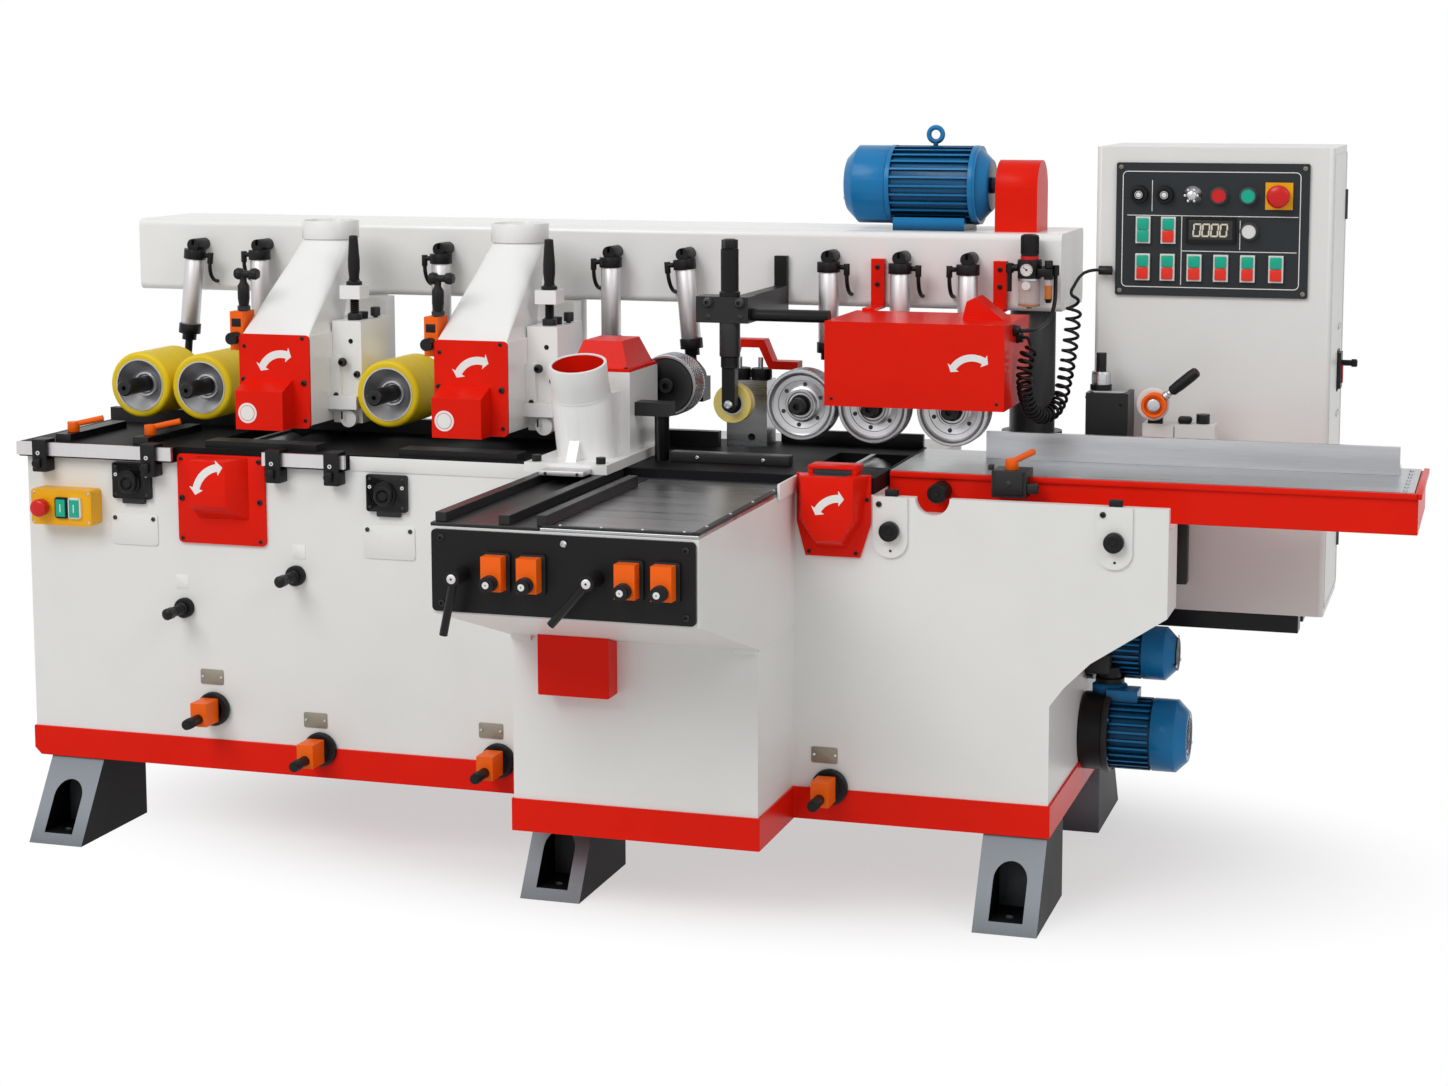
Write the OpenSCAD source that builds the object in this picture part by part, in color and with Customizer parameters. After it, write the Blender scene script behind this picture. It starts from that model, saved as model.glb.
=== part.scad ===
// Four sided moulder: a floor machine that planes a board on all four faces in one pass.
// X runs along the feed line with the infeed table at +X, Y runs to the back, Z is up from
// the floor. The origin is on the floor at the middle of the machine.

/* [Stand] */
// Height of the feet from the floor to the plinth
foot_h = 156; // [130:1:190]
// Width of a foot along the machine
foot_w = 118; // [100:1:140]
// Depth of a foot under the plinth
foot_d = 160; // [130:1:200]
// How far a foot's toe reaches past its top
foot_splay = 96; // [60:1:110]

/* [Base] */
// Height of the bed's working face above the floor
bed_z = 800; // [760:1:860]
// Height of the red plinth
plinth_h = 60; // [45:1:80]
// How far the plinth stands proud of the base
plinth_proud = 4; // [2:1:8]
// Reach of the base to the left of the middle
base_left = 1348; // [1300:1:1400]
// Reach of the base to the right of the middle, at the plinth
base_right = 730; // [720:1:780]
// Reach of the base to the front of the middle
base_front = 120; // [110:1:135]
// Reach of the base to the back of the middle
base_back = 620; // [590:1:680]
// Reach of the base's upper right corner
corner_right = 938; // [880:1:990]
// Depth of the base's upper right corner
corner_d = 115; // [90:1:150]

/* [Bed] */
// Thickness of the bed plate
bed_t = 30; // [24:1:40]
// Overhang of the bed at its left end and front edge
bed_lip = 15; // [10:1:20]
// Right end of the bed plate
bed_right = 404; // [402:1:430]
// Back edge of the bed plate
bed_back = 300; // [285:1:304]

/* [Side arm] */
// Reach of the arm to the left of the middle
arm_left = 218; // [214:1:240]
// Reach of the arm to the right of the middle
arm_right = 255; // [252:1:257]
// Reach of the arm to the front
arm_front = 687; // [640:1:730]
// Height of the arm's front
arm_h = 147; // [120:1:170]
// Reach of the pedestal to the front
pedestal_front = 344; // [300:1:380]

/* [Infeed] */
// Right end of the infeed table
table_right = 1358; // [1250:1:1450]
// Back edge of the infeed table
table_back = 288; // [270:1:299]
// Height of the table's red apron
apron_h = 70; // [55:1:80]
// Height of the fence above the table
fence_h = 52; // [40:1:60]
// Front face of the fences
fence_y = 185; // [180:1:186]

/* [Feed beam] */
// Left end of the feed beam
beam_left = 1355; // [1280:1:1400]
// Right end of the feed beam
beam_right = 657; // [640:1:690]
// Front face of the feed beam
beam_front = 350; // [349:1:356]
// Depth of the feed beam
beam_d = 250; // [200:1:265]
// Height of the beam's underside above the bed
beam_rise = 268; // [262:1:300]
// Height of the feed beam
beam_h = 152; // [130:1:180]

/* [Feed rollers] */
// Diameter of the yellow outfeed rollers
soft_d = 134; // [120:1:136]
// Width of the yellow outfeed rollers
soft_w = 150; // [100:1:155]
// Diameter of the serrated infeed wheels
steel_d = 138; // [120:1:139]
// Width of the serrated infeed wheels
steel_w = 50; // [36:1:56]
// Height of the roller axes above the bed
roller_rise = 100; // [92:1:106]
// Serrations round a wheel
steel_teeth = 64; // [40:2:80]
// Diameter of an air cylinder's barrel
barrel_d = 40; // [36:1:44]

/* [Cutting heads] */
// Cutting circle of the horizontal heads
cutter_d = 125; // [110:1:128]
// Width of the horizontal heads
cutter_w = 150; // [120:1:155]
// Width of a top hood
hood_w = 150; // [145:1:154]
// Height of the top hoods' boxes above the bed
hood_rise = 218; // [205:1:230]
// Outside diameter of the top dust outlets
outlet_d = 116; // [90:1:120]
// Outside diameter of the side dust outlet
side_outlet_d = 107; // [90:1:112]

/* [Cabinet] */
// Left side of the cabinet
cabinet_left = 712; // [708:1:724]
// Right side of the cabinet
cabinet_right = 1167; // [1140:1:1220]
// Front face of the cabinet
cabinet_front = 420; // [410:1:440]
// Depth of the cabinet
cabinet_d = 323; // [300:1:380]
// Underside of the cabinet
cabinet_low = 480; // [440:1:520]
// Height of the cabinet
cabinet_h = 908; // [850:1:960]

/* [Hidden] */
$fn = 48;

// Colours
white = [0.86, 0.86, 0.84];
red = [0.82, 0.10, 0.07];
black = [0.06, 0.06, 0.065];
dark = [0.13, 0.14, 0.15];
steel = [0.62, 0.63, 0.65];
iron = [0.36, 0.38, 0.40];
blue = [0.05, 0.24, 0.48];
yellow = [0.88, 0.72, 0.05];
orange = [0.95, 0.32, 0.03];
green = [0.03, 0.50, 0.25];

// Fits and cuts
over = 1;
run_gap = 0.05;
slide_gap = 0.3;
seat = 0.2;
wall = 5;

// Levels and planes; a pair of rises above the bed gives the two ends of a piece
function above(s) = [bed_z + s[0], bed_z + s[1]];
front = -base_front;
base_z = foot_h + plinth_h;
base_top = bed_z - bed_t;
bed_over = 10;
bed_left = base_left + bed_over;
table_drop = 4;
apron_z = bed_z - table_drop - apron_h;
beam_z = bed_z + beam_rise;
beam_top = beam_z + beam_h;
roller_z = bed_z + roller_rise;
beam_edge = 14;

// Feet
foot_floor = 20;
foot_window_w = 62;
foot_window_h = 96;
foot_pocket_d = 110;
foot_inset = 34;
anchor_r = 9;
anchor_in = 45;
centre_foot_x = -178;
centre_foot_y = -170;
plinth_chamfer = 14;

// Base
corner_low = 400;
corner_tip = 572;
corner_under_shares = [[0, 0], [0.12, 0.2], [0.35, 0.48], [1, 1]];
wall_drop = 2;
wall_top = base_top - wall_drop;
front_wall_t = 18;
notch_x = 512;
notch_r = 32;
pedestal_inset = 4;
arm_drop = 23;
arm_top = bed_z - arm_drop;
arm_low = arm_top - arm_h;
gusset_drop = 110;
gusset_z = arm_low - gusset_drop;
cabinet_relief = 4;

// Cutting heads
bottom_1_x = 329;
bottom_2_x = -914;
cutter_y = 20;
cutter_end = cutter_y + cutter_w;
cutter_room = 8;
cutter_proud = 1;
knife_proud = 6;
knife_t = 9;
shaft_r = 20;
work_t = 31;
cut_t = 2;
top_cutter_z = bed_z + work_t - cut_t + cutter_d / 2;
bottom_cutter_z = bed_z + cutter_proud - cutter_d / 2;
side_cutter_r = 50;
side_cutter_h = 60;
side_shaft_r = 15;
side_cutter_rise = 3;
left_cutter_x = -152;
left_cutter_y = 58;
right_cutter_x = -190;
right_cutter_y = 237;
right_bore_d = 70;

// Feed rollers: yellow 1 to 3 from the left, then steel 4 to 7
soft_front = 30;
soft_back = soft_front + soft_w;
steel_front = 100;
steel_back = steel_front + steel_w;
wheel_4_d = 122;
wheel_4_rise = 26;
wheel_4_front = 118;
wheel_4_w = 60;
wheel_4_nose = 8;
wheel_4_disc_r = 52;
wheel_4_disc = [190, 212];
roller_x = [-1178, -1038, -627, -74, 202, 344, 498];

// Air cylinders, one over each roller and the eighth over the pressure shoe
cylinder_x = [-1224, -1047, -631, -80, 200, 345, 481, -258];
cylinder_tilt = [6, 0, 0, -5, 0, 0, 0, 0];
elbow_side = [1, -1, -1, -1, 1, 1, -1, -1];
shoe_half = 17;
cylinder_out = 40;
cylinder_y = beam_front - cylinder_out;
cylinder_foot_rise = 20;
cylinder_foot = roller_z + cylinder_foot_rise;
barrel_r = barrel_d / 2;
barrel_low = 80;
barrel_len = 140;
barrel_top = barrel_low + barrel_len;
barrel_wall = 3;
bore_r = barrel_r - barrel_wall;
cap_r = barrel_r + barrel_wall;
cap_t = 20;
nose_r = 15;
nose_t = 14;
piston_t = 14;
rod_r = 8;
rod_in = 40;
rod_end = barrel_low + rod_in;
clevis_r = 13;
clevis_gap = 6;
clevis_neck = 10;
clevis_sink = 3;
elbow_r = 6;
elbow_len = 14;
elbow_drop = 16;
hose_r = 4;
housing_r = 28;
axle_r = 15;
block_half = 25;
block_x = 20;
block_low = 45;
block_high = 3;
axle_end = cylinder_y - block_half - wall;

// Top heads
hood_front = -40;
hood_back = 190;
hood_low_rise = 42;
hood_low = bed_z + hood_low_rise;
hood_top = bed_z + hood_rise;
duct_back = 110;
duct_inset = 3;
duct_rise = 177;
outlet_y = 215;
outlet_len = 37;
outlet_wall = 4;
cover_t = 6;
cover_corner = 10;
cover_low = hood_low - cover_t;
cover_rise = 2;
hump_left = 62;
hump_right = 40;
hump_out = 46;
hump_h = 76;
hump_slope = 20;
casting_w = 63;
casting_x = [hood_w / 2, hood_w / 2 + casting_w];
shoe_gap = 3;
soft_gap = 2;
head_1_x = cylinder_x[7] - shoe_half - shoe_gap - casting_x[1];
head_2_x = roller_x[2] - soft_d / 2 - soft_gap - casting_x[1];
casting_y = [60, 196];
casting_rises = [36, 240];
casting_z = above(casting_rises);
lug_r = 17;
lug_t = 16;
lug_x = 24;
lug_rise = 10;
lug_z = casting_z[0] + lug_rise;
flange_x = 20;
flange_y = 12;
flange_rises = [68, 168];
flange_z = above(flange_rises);
step_rises = [66, 92];
step_z = above(step_rises);
step_y = 26;
screw_r = 7;
screw_in = 34;
screw_x = casting_x[0] + screw_in;
screw_y = casting_y[0] + screw_in;
screw_nut_r = 14;
screw_nut_t = 14;
screw_plate_rises = [283, 310];
screw_plate_z = above(screw_plate_rises);
screw_plate_half = 22;
grip_len = 98;
grip_r = 12;
grip_waist_share = 0.72;
bolt_r = 9;
bolt_t = 12;
quill_r = 52;
quill_end = 290;
slide_half = 60;
slide_rises = [50, 230];
slide_z = above(slide_rises);
post_half = 80;
post_y = [305, 345];
column_y = 450;
column_r = 55;
column_x = [-878, -422];
gib_half = 20;
tag_x = 28;
tag_y = [-30, 20];
tag_rises = [185, 262];
tag_z = above(tag_rises);
tag_knob_r = 12;
tag_knob_l = 25;
tag_knob_z = 25;

// Front column beside the infeed
pole_x = 590;
pole_y = 420;
pole_r = 45;
pole_foot_r = 60;
pole_foot_h = 100;

// Feed motor and belt guard
motor_y = 450;
motor_r = 72;
motor_lift = 17;
motor_z = beam_top + motor_lift + motor_r;
motor_x = [300, 470];
cowl_x = [207, 300];
bell_x = [470, 500];
shaft_end_r = 16;
fin_count = 28;
fin_out = 6;
fin_t = 4;
cowl_r = motor_r + fin_out;
cowl_chamfer = 22;
motor_foot_x = [310, 455];
motor_foot_half = 60;
motor_foot_h = 26;
eye_x = 383;
eye_r = 14;
eye_bar = 5;
eye_stem = 14;
guard_x = [516, 600];
guard_half = 58;
guard_h = 140;

// Roller guard
shroud_x = [264, 608];
shroud_y = [45, 285];
shroud_low = 108;
shroud_z = [bed_z + shroud_low, beam_z];
shroud_t = 4;
shroud_side = 215;
shroud_side_z = bed_z + shroud_side;
strap_x = [293, 539];
strap_half = 13;
strap_t = 15;
strap_rise = 98;
strap_foot = 6;
strap_foot_y = 265;
wedge_x = [505, 585];
wedge_y = [150, 220];
wedge_h = 42;
wedge_shares = [[0, 0], [1, 0], [0.3, 1], [0.1, 0.8]];
fitting_r = 9;
fitting_len = 12;
fitting_1 = [128, 1052];
fitting_2 = [160, 1036];

// Covers and plates on the base's front
left_cover_x = [-1009, -819];
left_cover_rises = [-189, -12];
left_cover_z = above(left_cover_rises);
right_cover_in = 5;
right_cover_w = 140;
right_cover_x = [bed_right - right_cover_in - right_cover_w, bed_right - right_cover_in];
right_cover_rises = [-147, 6];
right_cover_z = above(right_cover_rises);
right_cover_out = 34;
right_cover_bevel = 22;
right_cover_waist = 64;
right_cover_toe = 26;
right_lid_h = 16;
right_lid_in = 14;
right_lid_t = 5;
right_lid_back = 26;
right_slot_in = 34;
right_slot_deep = 40;
bearing_x = [-1110, -559];
bearing_drop = 66;
bearing_z = bed_z - bearing_drop;
bearing_half = 40;
bearing_t = 10;
boss_r = 19;
boss_len = 16;
round_plate_x = [435, 843];
round_plate_r = 32;
round_plate_t = 5;
round_plate_h = 80;
knob_r = 18;
knob_len = 14;
crank_xz = [[-1002, 479], [-757, 557]];
crank_flange_r = 16;
crank_flange_t = 8;
crank_grip_r = 10;
crank_grip_l = 66;
dial_xz = [[-945, 279], [-714, 214], [-338, 220], [321, 221]];
dial_r = 24;
dial_t = 14;
dial_box_w = 34;
dial_box_d = 50;
dial_box_h = 46;
dial_grip_r = 10;
dial_grip_l = 48;
dial_drop = 8;

// Trim, fences and bars on the bed
trim_t = 8;
trim_h = 26;
trim_right = -640;
trim_gap = 4;
clip_x = [-1306, -1064, -792, -668];
clip_half = 11;
clip_t = 5;
clip_drop = 30;
rear_fence_x = [-1340, -250];
rear_fence_t = 20;
rear_fence_h = 30;
mid_fence_x = [-130, 10];
bar_x = [-1272, -1098];
bar_half = 17;
bar_y = [-110, 105];
bar_h = 14;
lip_x = [[-960, -720], [-545, -300]];
lip_y = [-100, -52];
lip_h = 12;
lever_post_r = 6;
lever_hub_r = 12;
lever_hub_h = 14;
lever_arm_r = 6;
lever_arm_l = 62;
lever_post_y = -70;
lever_slope = 12;
bed_lever_turn = 20;
fence_lever_turn = 60;

// Start box
start_in = 30;
start_w = 135;
start_x = [start_in - base_left, start_in + start_w - base_left];
start_z = [638, 710];
start_d = 40;
start_corner = 8;
start_button_in = 70;
start_button_step = 30;
start_button_w = 20;
start_button_h = 34;
start_button_t = 8;
mushroom_in = 28;
mushroom_x = start_x[0] + mushroom_in;
mushroom_r = 17;
mushroom_t = 16;
mushroom_neck_r = 9;
mushroom_neck = 12;
press_travel = 5;

// Arm
panel_t = 6;
panel_inset = 4;
lever_xz = [[-157, -4], [80, 1]];
lever_turn = [12, 42];
clamp_hub_r = 13;
clamp_hub_len = 50;
clamp_arm_r = 7;
clamp_arm_in = 38;
clamp_arm_l = 100;
clamp_pin_r = 8;
tag_xs = [-96, -33, 138, 201];
panel_tag_w = 36;
panel_tag_d = 28;
panel_tag_h = 58;
panel_tag_rise = 3;
panel_knob_r = 13;
panel_knob_l = 22;
panel_knob_drop = 14;
table_skin = 6;
skin_split = -22;
skin_gap = 2;
rail_x = [[-212, -192], [-98, -78]];
rail_front = 680;
frame_bar_x = [-30, -12];
frame_bar_h = 20;
cable_box_x = [-147, -12];
cable_box_d = 46;
cable_box_low = 424;

// Side hood
side_x = [-235, -73];
side_y = [-225, 104];
side_plate_t = 18;
side_box_x = [-215, -88];
side_box_y = -56;
side_box_h = 152;
side_tilt = 15;
side_pipe_y = -115;
side_pipe_len = 185;
side_spigot_len = 60;
side_shoulder = 2.5;
side_wall = 5;
side_bore_len = 140;
side_fill_x = [-200, -105];
side_fill_h = 118;
side_rib_t = 20;
side_rib_h = 60;
cap_base_h = 6;
cap_rise = 56;
cap_top_share = 0.62;
cap_lean_share = 0.45;
clamp_x = [-88, -20];
clamp_y = [-30, 10];
clamp_rises = [85, 111];
clamp_z = above(clamp_rises);
clamp_post_r = 14;
clamp_post_x = -40;
side_bolt_in = 18;

// Right head block
right_x = [18, 101];
right_y = [215, 277];
right_h = 130;
right_ring_r = 20;
right_ring_t = 22;
handle_y = [228, 262];
handle_t = 16;
handle_top = 80;
handle_x = [4, 160];
handle_foot = 20;
handle_slope = 32;

// Press post
stem_x = 70;
stem_front = 60;
stem_t = 22;
stem_y = [stem_front, stem_front + stem_t];
stem_half = 13;
stem_rise = 400;
stem_top = bed_z + stem_rise;
stem_knob_r = 16;
stem_knob_h = 16;
press_wheel_r = 38;
press_gap = 2.5;
press_wheel_w = 27.5;
press_wheel_y = [stem_y[1] + press_gap, stem_y[1] + press_gap + press_wheel_w];
press_pin_r = 8;
press_rise = 100;
press_z = bed_z + press_rise;
press_block_left = 62;
press_block_right = 42;
press_block_x = [stem_x - press_block_left, stem_x + press_block_right];
press_block_in = 8;
press_block_d = 56;
press_block_y = [stem_front - press_block_in, stem_front - press_block_in + press_block_d];
press_block_rise = 258;
press_block_h = 50;
press_block_z = [bed_z + press_block_rise, bed_z + press_block_rise + press_block_h];
press_arm_in = 10;
press_arm_w = 26;
press_arm_x = [stem_x + press_arm_in, stem_x + press_arm_in + press_arm_w];
press_bar_r = 12;
press_bar_len = 150;
press_bar_x = [press_block_x[1], press_block_x[1] + press_bar_len];
press_bar_y = 90;
press_bar_rise = 272;
press_bar_z = bed_z + press_bar_rise;
press_rail_in = 4;
press_rail_over = 60;
press_rail_z = [press_block_z[0] + press_rail_in, press_block_z[1] + press_rail_over];
press_rail_t = 14;

// Infeed
table_front = 20;
table_gap = 4;
table_left = bed_right + table_gap;
table_t = 12;
rim_w = 8;
fence_left = 547;
fence_short = 43;
fence_x = [fence_left, table_right - fence_short];
fence_t = 12;
fence_foot = 56;
shelf_left = 700;
shelf_w = 275;
shelf_x = [shelf_left, shelf_left + shelf_w];
shelf_d = 106;
shelf_t = 24;
stop_in = 16;
stop_w = 82;
stop_x = [shelf_left + stop_in, shelf_left + stop_in + stop_w];
stop_back = 18;
stop_d = 80;
stop_y = [table_back + stop_back, table_back + stop_back + stop_d];
stop_h = 118;
stop_collar_r = 18;
stop_collar_h = 38;
stop_cap_r = 10;
stop_cap_h = 36;
rest_in = 126;
rest_w = 138;
rest_x = [shelf_left + rest_in, shelf_left + rest_in + rest_w];
rest_back = 22;
rest_d = 56;
rest_y = [table_back + rest_back, table_back + rest_back + rest_d];
rest_h = 62;
rest_knob_r = 13;
rest_knob_h = 18;
pivot_in = 24;
pivot_x = rest_x[0] + pivot_in;
pivot_rise = 100;
pivot_pin_r = 8;
ear_half = 14;
hub_r = 24;
hub_t = 11.7;
hub_gap = 6.3;
hub_y = [rest_y[0] - hub_gap - hub_t, rest_y[0] - hub_gap];
stop_lever_r = 9;
stop_lever_l = 104;
stop_lever_turn = 50;
jaw_left = 608;
jaw_w = 64;
jaw_x = [jaw_left, jaw_left + jaw_w];
jaw_out = 42;
jaw_in = 24;
jaw_low = 34;
jaw_h = 14;
jaw_post_y = -34;

// Cabinet
cabinet_corner = 10;
cabinet_bar_in = 25;
cabinet_bar_step = 115;
cabinet_bar_w = 50;
cabinet_bar_short = 49;
cabinet_bar_h = 40;
switch_y = 640;
switch_z = 941;
switch_half = 22;
switch_h = 36;
switch_t = 8;
panel_in_left = 40;
panel_in_right = 45;
panel_drop = 30;
panel_h = 258;
cabinet_top = cabinet_low + cabinet_h;
panel_x = [cabinet_left + panel_in_left, cabinet_right - panel_in_right];
panel_z = [cabinet_top - panel_drop - panel_h, cabinet_top - panel_drop];
panel_plate_t = 6;
panel_face = cabinet_front - panel_plate_t;
// Places on the panel, as shares of its width and height
knob_row_share = 0.76;
knob_shares = [0.124, 0.257];
small_knob_share = 0.4;
push_shares = [0.538, 0.689];
stop_share = 0.846;
double_z_shares = [0.496, 0.217];
double_row_shares = [[0.146, 0.278],
    [0.146, 0.276, 0.416, 0.554, 0.692, 0.838]];
white_knob_share = 0.697;
display_x_shares = [0.368, 0.627];
display_z_shares = [0.403, 0.597];
knob_row_z = at_share(panel_z, knob_row_share);
stop_x_cab = at_share(panel_x, stop_share);
double_w = 28;
double_t = 8;
double_h = 52;
display_t = 5;
dial_button_r = 15;
dial_button_t = 14;
stop_plate = 52;
stop_plate_t = 5;
stop_head_r = 21;
stop_head_t = 18;
stop_neck_r = 11;
stop_neck = 14;

// Drive motors in the bay at the right end
drive_y = 250;
drive_rise = 52;
drive_z = base_z + drive_rise;
drive_r = 64;
drive_gap = 18;
drive_len = 120;
drive_cowl = 67;
drive_x = [base_right + drive_gap, base_right + drive_gap + drive_len];
drive_cowl_x = [drive_x[1], drive_x[1] + drive_cowl];
drive_flange_r = 50;
small_y = 310;
small_up = 146;
small_z = drive_z + small_up;
small_r = 46;
small_gap = 14;
small_len = 94;
small_cowl = 65;
small_x = [base_right + small_gap, base_right + small_gap + small_len];
small_cowl_x = [small_x[1], small_x[1] + small_cowl];
small_flange_r = 58;
drive_box_w = 60;
drive_box_d = 50;
drive_box_h = 22;

// Air service unit
air_x = 601;
air_out = 32;
air_y = beam_front - air_out;
air_body_r = 23;
air_body_low = 1136;
air_body_h = 36;
air_body_z = [air_body_low, air_body_low + air_body_h];
air_ring_t = 7;
air_knob_r = 17;
air_knob_h = 40;
air_bowl_r = 21;
air_bowl_h = 54;
gauge_r = 14;
gauge_t = 10;
air_elbow_r = 7;
air_bracket_half = 12;
air_bracket_in = 4;

// Curly hose: its route, and how many curls lie on each stretch of it
hose_d = 6.4;
curl_r = 13;
hose_route = [
    [620, 160, 1036], [629, 160, 1036], [636, 152, 1022], [632, 138, 1000], [630, 128, 975],
    [630, 132, 950], [630, 152, 925], [633, 184, 898], [645, 228, 880], [662, 262, 887],
    [670, 285, 908], [674, 304, 937], [677, 320, 968], [679, 333, 1000], [681, 344, 1035],
    [682, 356, 1070], [678, 366, 1098], [681, 376, 1124], [695, 388, 1143], [713, 402, 1148],
    [722, 402, 1148]
];
curl_counts = [0, 0, 2, 2, 2, 2.5, 3, 3.5, 3, 2.5, 2, 2, 1.75, 1.75, 1.75, 1, 0.5, 0, 0, 0];
hose_end = hose_route[len(hose_route) - 1];
curl_rings = 8;
hose_sides = 6;
socket_r = 9;
socket_len = 26;
// Plain air hose from the service unit to the roller guard
air_hose_d = 8;
air_hose_route = [
    [652, 318, 1142], [652, 318, 1126], [653, 310, 1098], [653, 286, 1075], [651, 250, 1061],
    [648, 212, 1055], [646, 176, 1052], [641, 148, 1052], [630, 129, 1052], [620, 128, 1052]
];
air_hose_sides = 8;
air_hose_steps = 3;

// Helpers: boxes, rods along each axis and extrusions along each axis
module span(x, y, z)
    translate([x[0], y[0], z[0]]) cube([x[1] - x[0], y[1] - y[0], z[1] - z[0]]);
module rod_x(r, x, y, z)
    translate([x[0], y, z]) rotate([0, 90, 0]) cylinder(r = r, h = x[1] - x[0]);
module rod_y(r, x, y, z)
    translate([x, y[0], z]) rotate([-90, 0, 0]) cylinder(r = r, h = y[1] - y[0]);
module rod_z(r, x, y, z)
    translate([x, y, z[0]]) cylinder(r = r, h = z[1] - z[0]);
module along_x(x)
    translate([x[0], 0, 0]) rotate([90, 0, 90]) linear_extrude(x[1] - x[0]) children();
module along_y(y)
    translate([0, y[1], 0]) rotate([90, 0, 0]) linear_extrude(y[1] - y[0]) children();
module along_z(z)
    translate([0, 0, z[0]]) linear_extrude(z[1] - z[0]) children();

// A rectangle between two limits on each axis, with round corners
module round_rect(x, y, r) {
    translate([x[0] + r, y[0]]) square([x[1] - x[0] - 2 * r, y[1] - y[0]]);
    translate([x[0], y[0] + r]) square([x[1] - x[0], y[1] - y[0] - 2 * r]);
    for (cx = [x[0] + r, x[1] - r], cy = [y[0] + r, y[1] - r])
        translate([cx, cy]) circle(r);
}

function middle(s) = (s[0] + s[1]) / 2;
function grow(s, d) = [s[0] - d, s[1] + d];
function about(c, w) = [c - w / 2, c + w / 2];
function at_share(s, k) = s[0] + k * (s[1] - s[0]);
function unit(v) = v / norm(v);

// Swept tubes: a smooth curve through hand chosen points, curled where a count says so
function curve(p, i, t) =
    let (a = p[max(i - 1, 0)], b = p[i], c = p[i + 1], d = p[min(i + 2, len(p) - 1)])
    ((2 * b) + (c - a) * t + (2 * a - 5 * b + 4 * c - d) * t * t
        + (3 * b - a - 3 * c + d) * t * t * t) / 2;
function slope(p, i, t) =
    let (a = p[max(i - 1, 0)], b = p[i], c = p[i + 1], d = p[min(i + 2, len(p) - 1)])
    ((c - a) + (2 * a - 5 * b + 4 * c - d) * 2 * t + (3 * b - a - 3 * c + d) * 3 * t * t) / 2;
function total(v, n) = n <= 0 ? 0 : v[n - 1] + total(v, n - 1);
function swing(ahead, a) =
    let (side = unit(cross(ahead, [0, 1, 0])), up = unit(cross(side, ahead)))
    cos(a) * side + sin(a) * up;
function curled(p, counts, r, rings) =
    let (whole = total(counts, len(counts)))
    [for (i = [0 : len(p) - 2])
        let (n = max(2, round(rings * counts[i])))
        for (j = [0 : n - (i == len(p) - 2 ? 0 : 1)])
            let (
                t = j / n,
                turn = total(counts, i) + counts[i] * t,
                reach = r * min(1, turn, whole - turn)
            )
            curve(p, i, t) + (reach > 0 ? reach * swing(slope(p, i, t), 360 * turn) : [0, 0, 0])];
function plain(p, steps) =
    [for (i = [0 : len(p) - 2], j = [0 : steps - (i == len(p) - 2 ? 0 : 1)]) curve(p, i, j / steps)];
function headings(q) =
    [for (i = [0 : len(q) - 1]) unit(q[min(i + 1, len(q) - 1)] - q[max(i - 1, 0)])];
function normals(h) =
    [for (i = 0, n = unit(cross(h[0], [0, 0, 1])); i < len(h);
        i = i + 1, n = i < len(h) ? unit(n - (n * h[i]) * h[i]) : n) n];
module tube(q, r, sides) {
    h = headings(q);
    n = normals(h);
    points = [for (i = [0 : len(q) - 1], k = [0 : sides - 1])
        let (a = 360 * k / sides) q[i] + r * (cos(a) * n[i] + sin(a) * cross(h[i], n[i]))];
    walls = [for (i = [0 : len(q) - 2], k = [0 : sides - 1])
        let (a = i * sides + k, b = i * sides + (k + 1) % sides)
        each [[a, b + sides, b], [a, a + sides, b + sides]]];
    last = (len(q) - 1) * sides;
    ends = [for (k = [1 : sides - 2]) each [[0, k, k + 1], [last, last + k + 1, last + k]]];
    polyhedron(points, concat(walls, ends));
}
function least_gap(q, skip) =
    min([for (i = [0 : len(q) - 1], j = [i + skip : 1 : len(q) - 1]) norm(q[i] - q[j])]);

// The stand and the base
module foot_window() {
    r = foot_window_w / 2;
    translate([-r, foot_floor]) square([foot_window_w, foot_window_h - r]);
    translate([0, foot_floor + foot_window_h - r]) circle(r);
}
module foot() difference() {
    along_x([-foot_w / 2, foot_w / 2])
        polygon([[-foot_splay, 0], [foot_d, 0], [foot_d, foot_h], [0, foot_h]]);
    along_y([-foot_splay - over, foot_pocket_d - foot_splay]) foot_window();
    rod_z(anchor_r, 0, anchor_in - foot_splay, [-over, foot_floor + over]);
}
module machine_feet() color(iron) {
    for (x = [-base_left + foot_inset + foot_w / 2, base_right - foot_w / 2]) {
        translate([x, front, 0]) foot();
        translate([x, base_back, 0]) mirror([0, 1, 0]) foot();
    }
    translate([centre_foot_x, centre_foot_y, 0]) foot();
}
module base_plinth() color(red) {
    l = -base_left - plinth_proud;
    r = base_right + plinth_proud;
    along_y([front - plinth_proud, base_back + plinth_proud])
        polygon([[l + plinth_chamfer, foot_h], [r, foot_h], [r, base_z], [l, base_z],
            [l, foot_h + plinth_chamfer]]);
    span([pedestal_inset - arm_left - plinth_proud, arm_right - pedestal_inset + plinth_proud],
        [-pedestal_front - plinth_proud, front], [foot_h, base_z]);
}
module cutter_pocket(x) {
    half = cutter_d / 2 + cutter_room;
    span([x - half, x + half], grow([cutter_y, cutter_end], cutter_room),
        [bottom_cutter_z - half, bed_z + over]);
}
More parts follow.
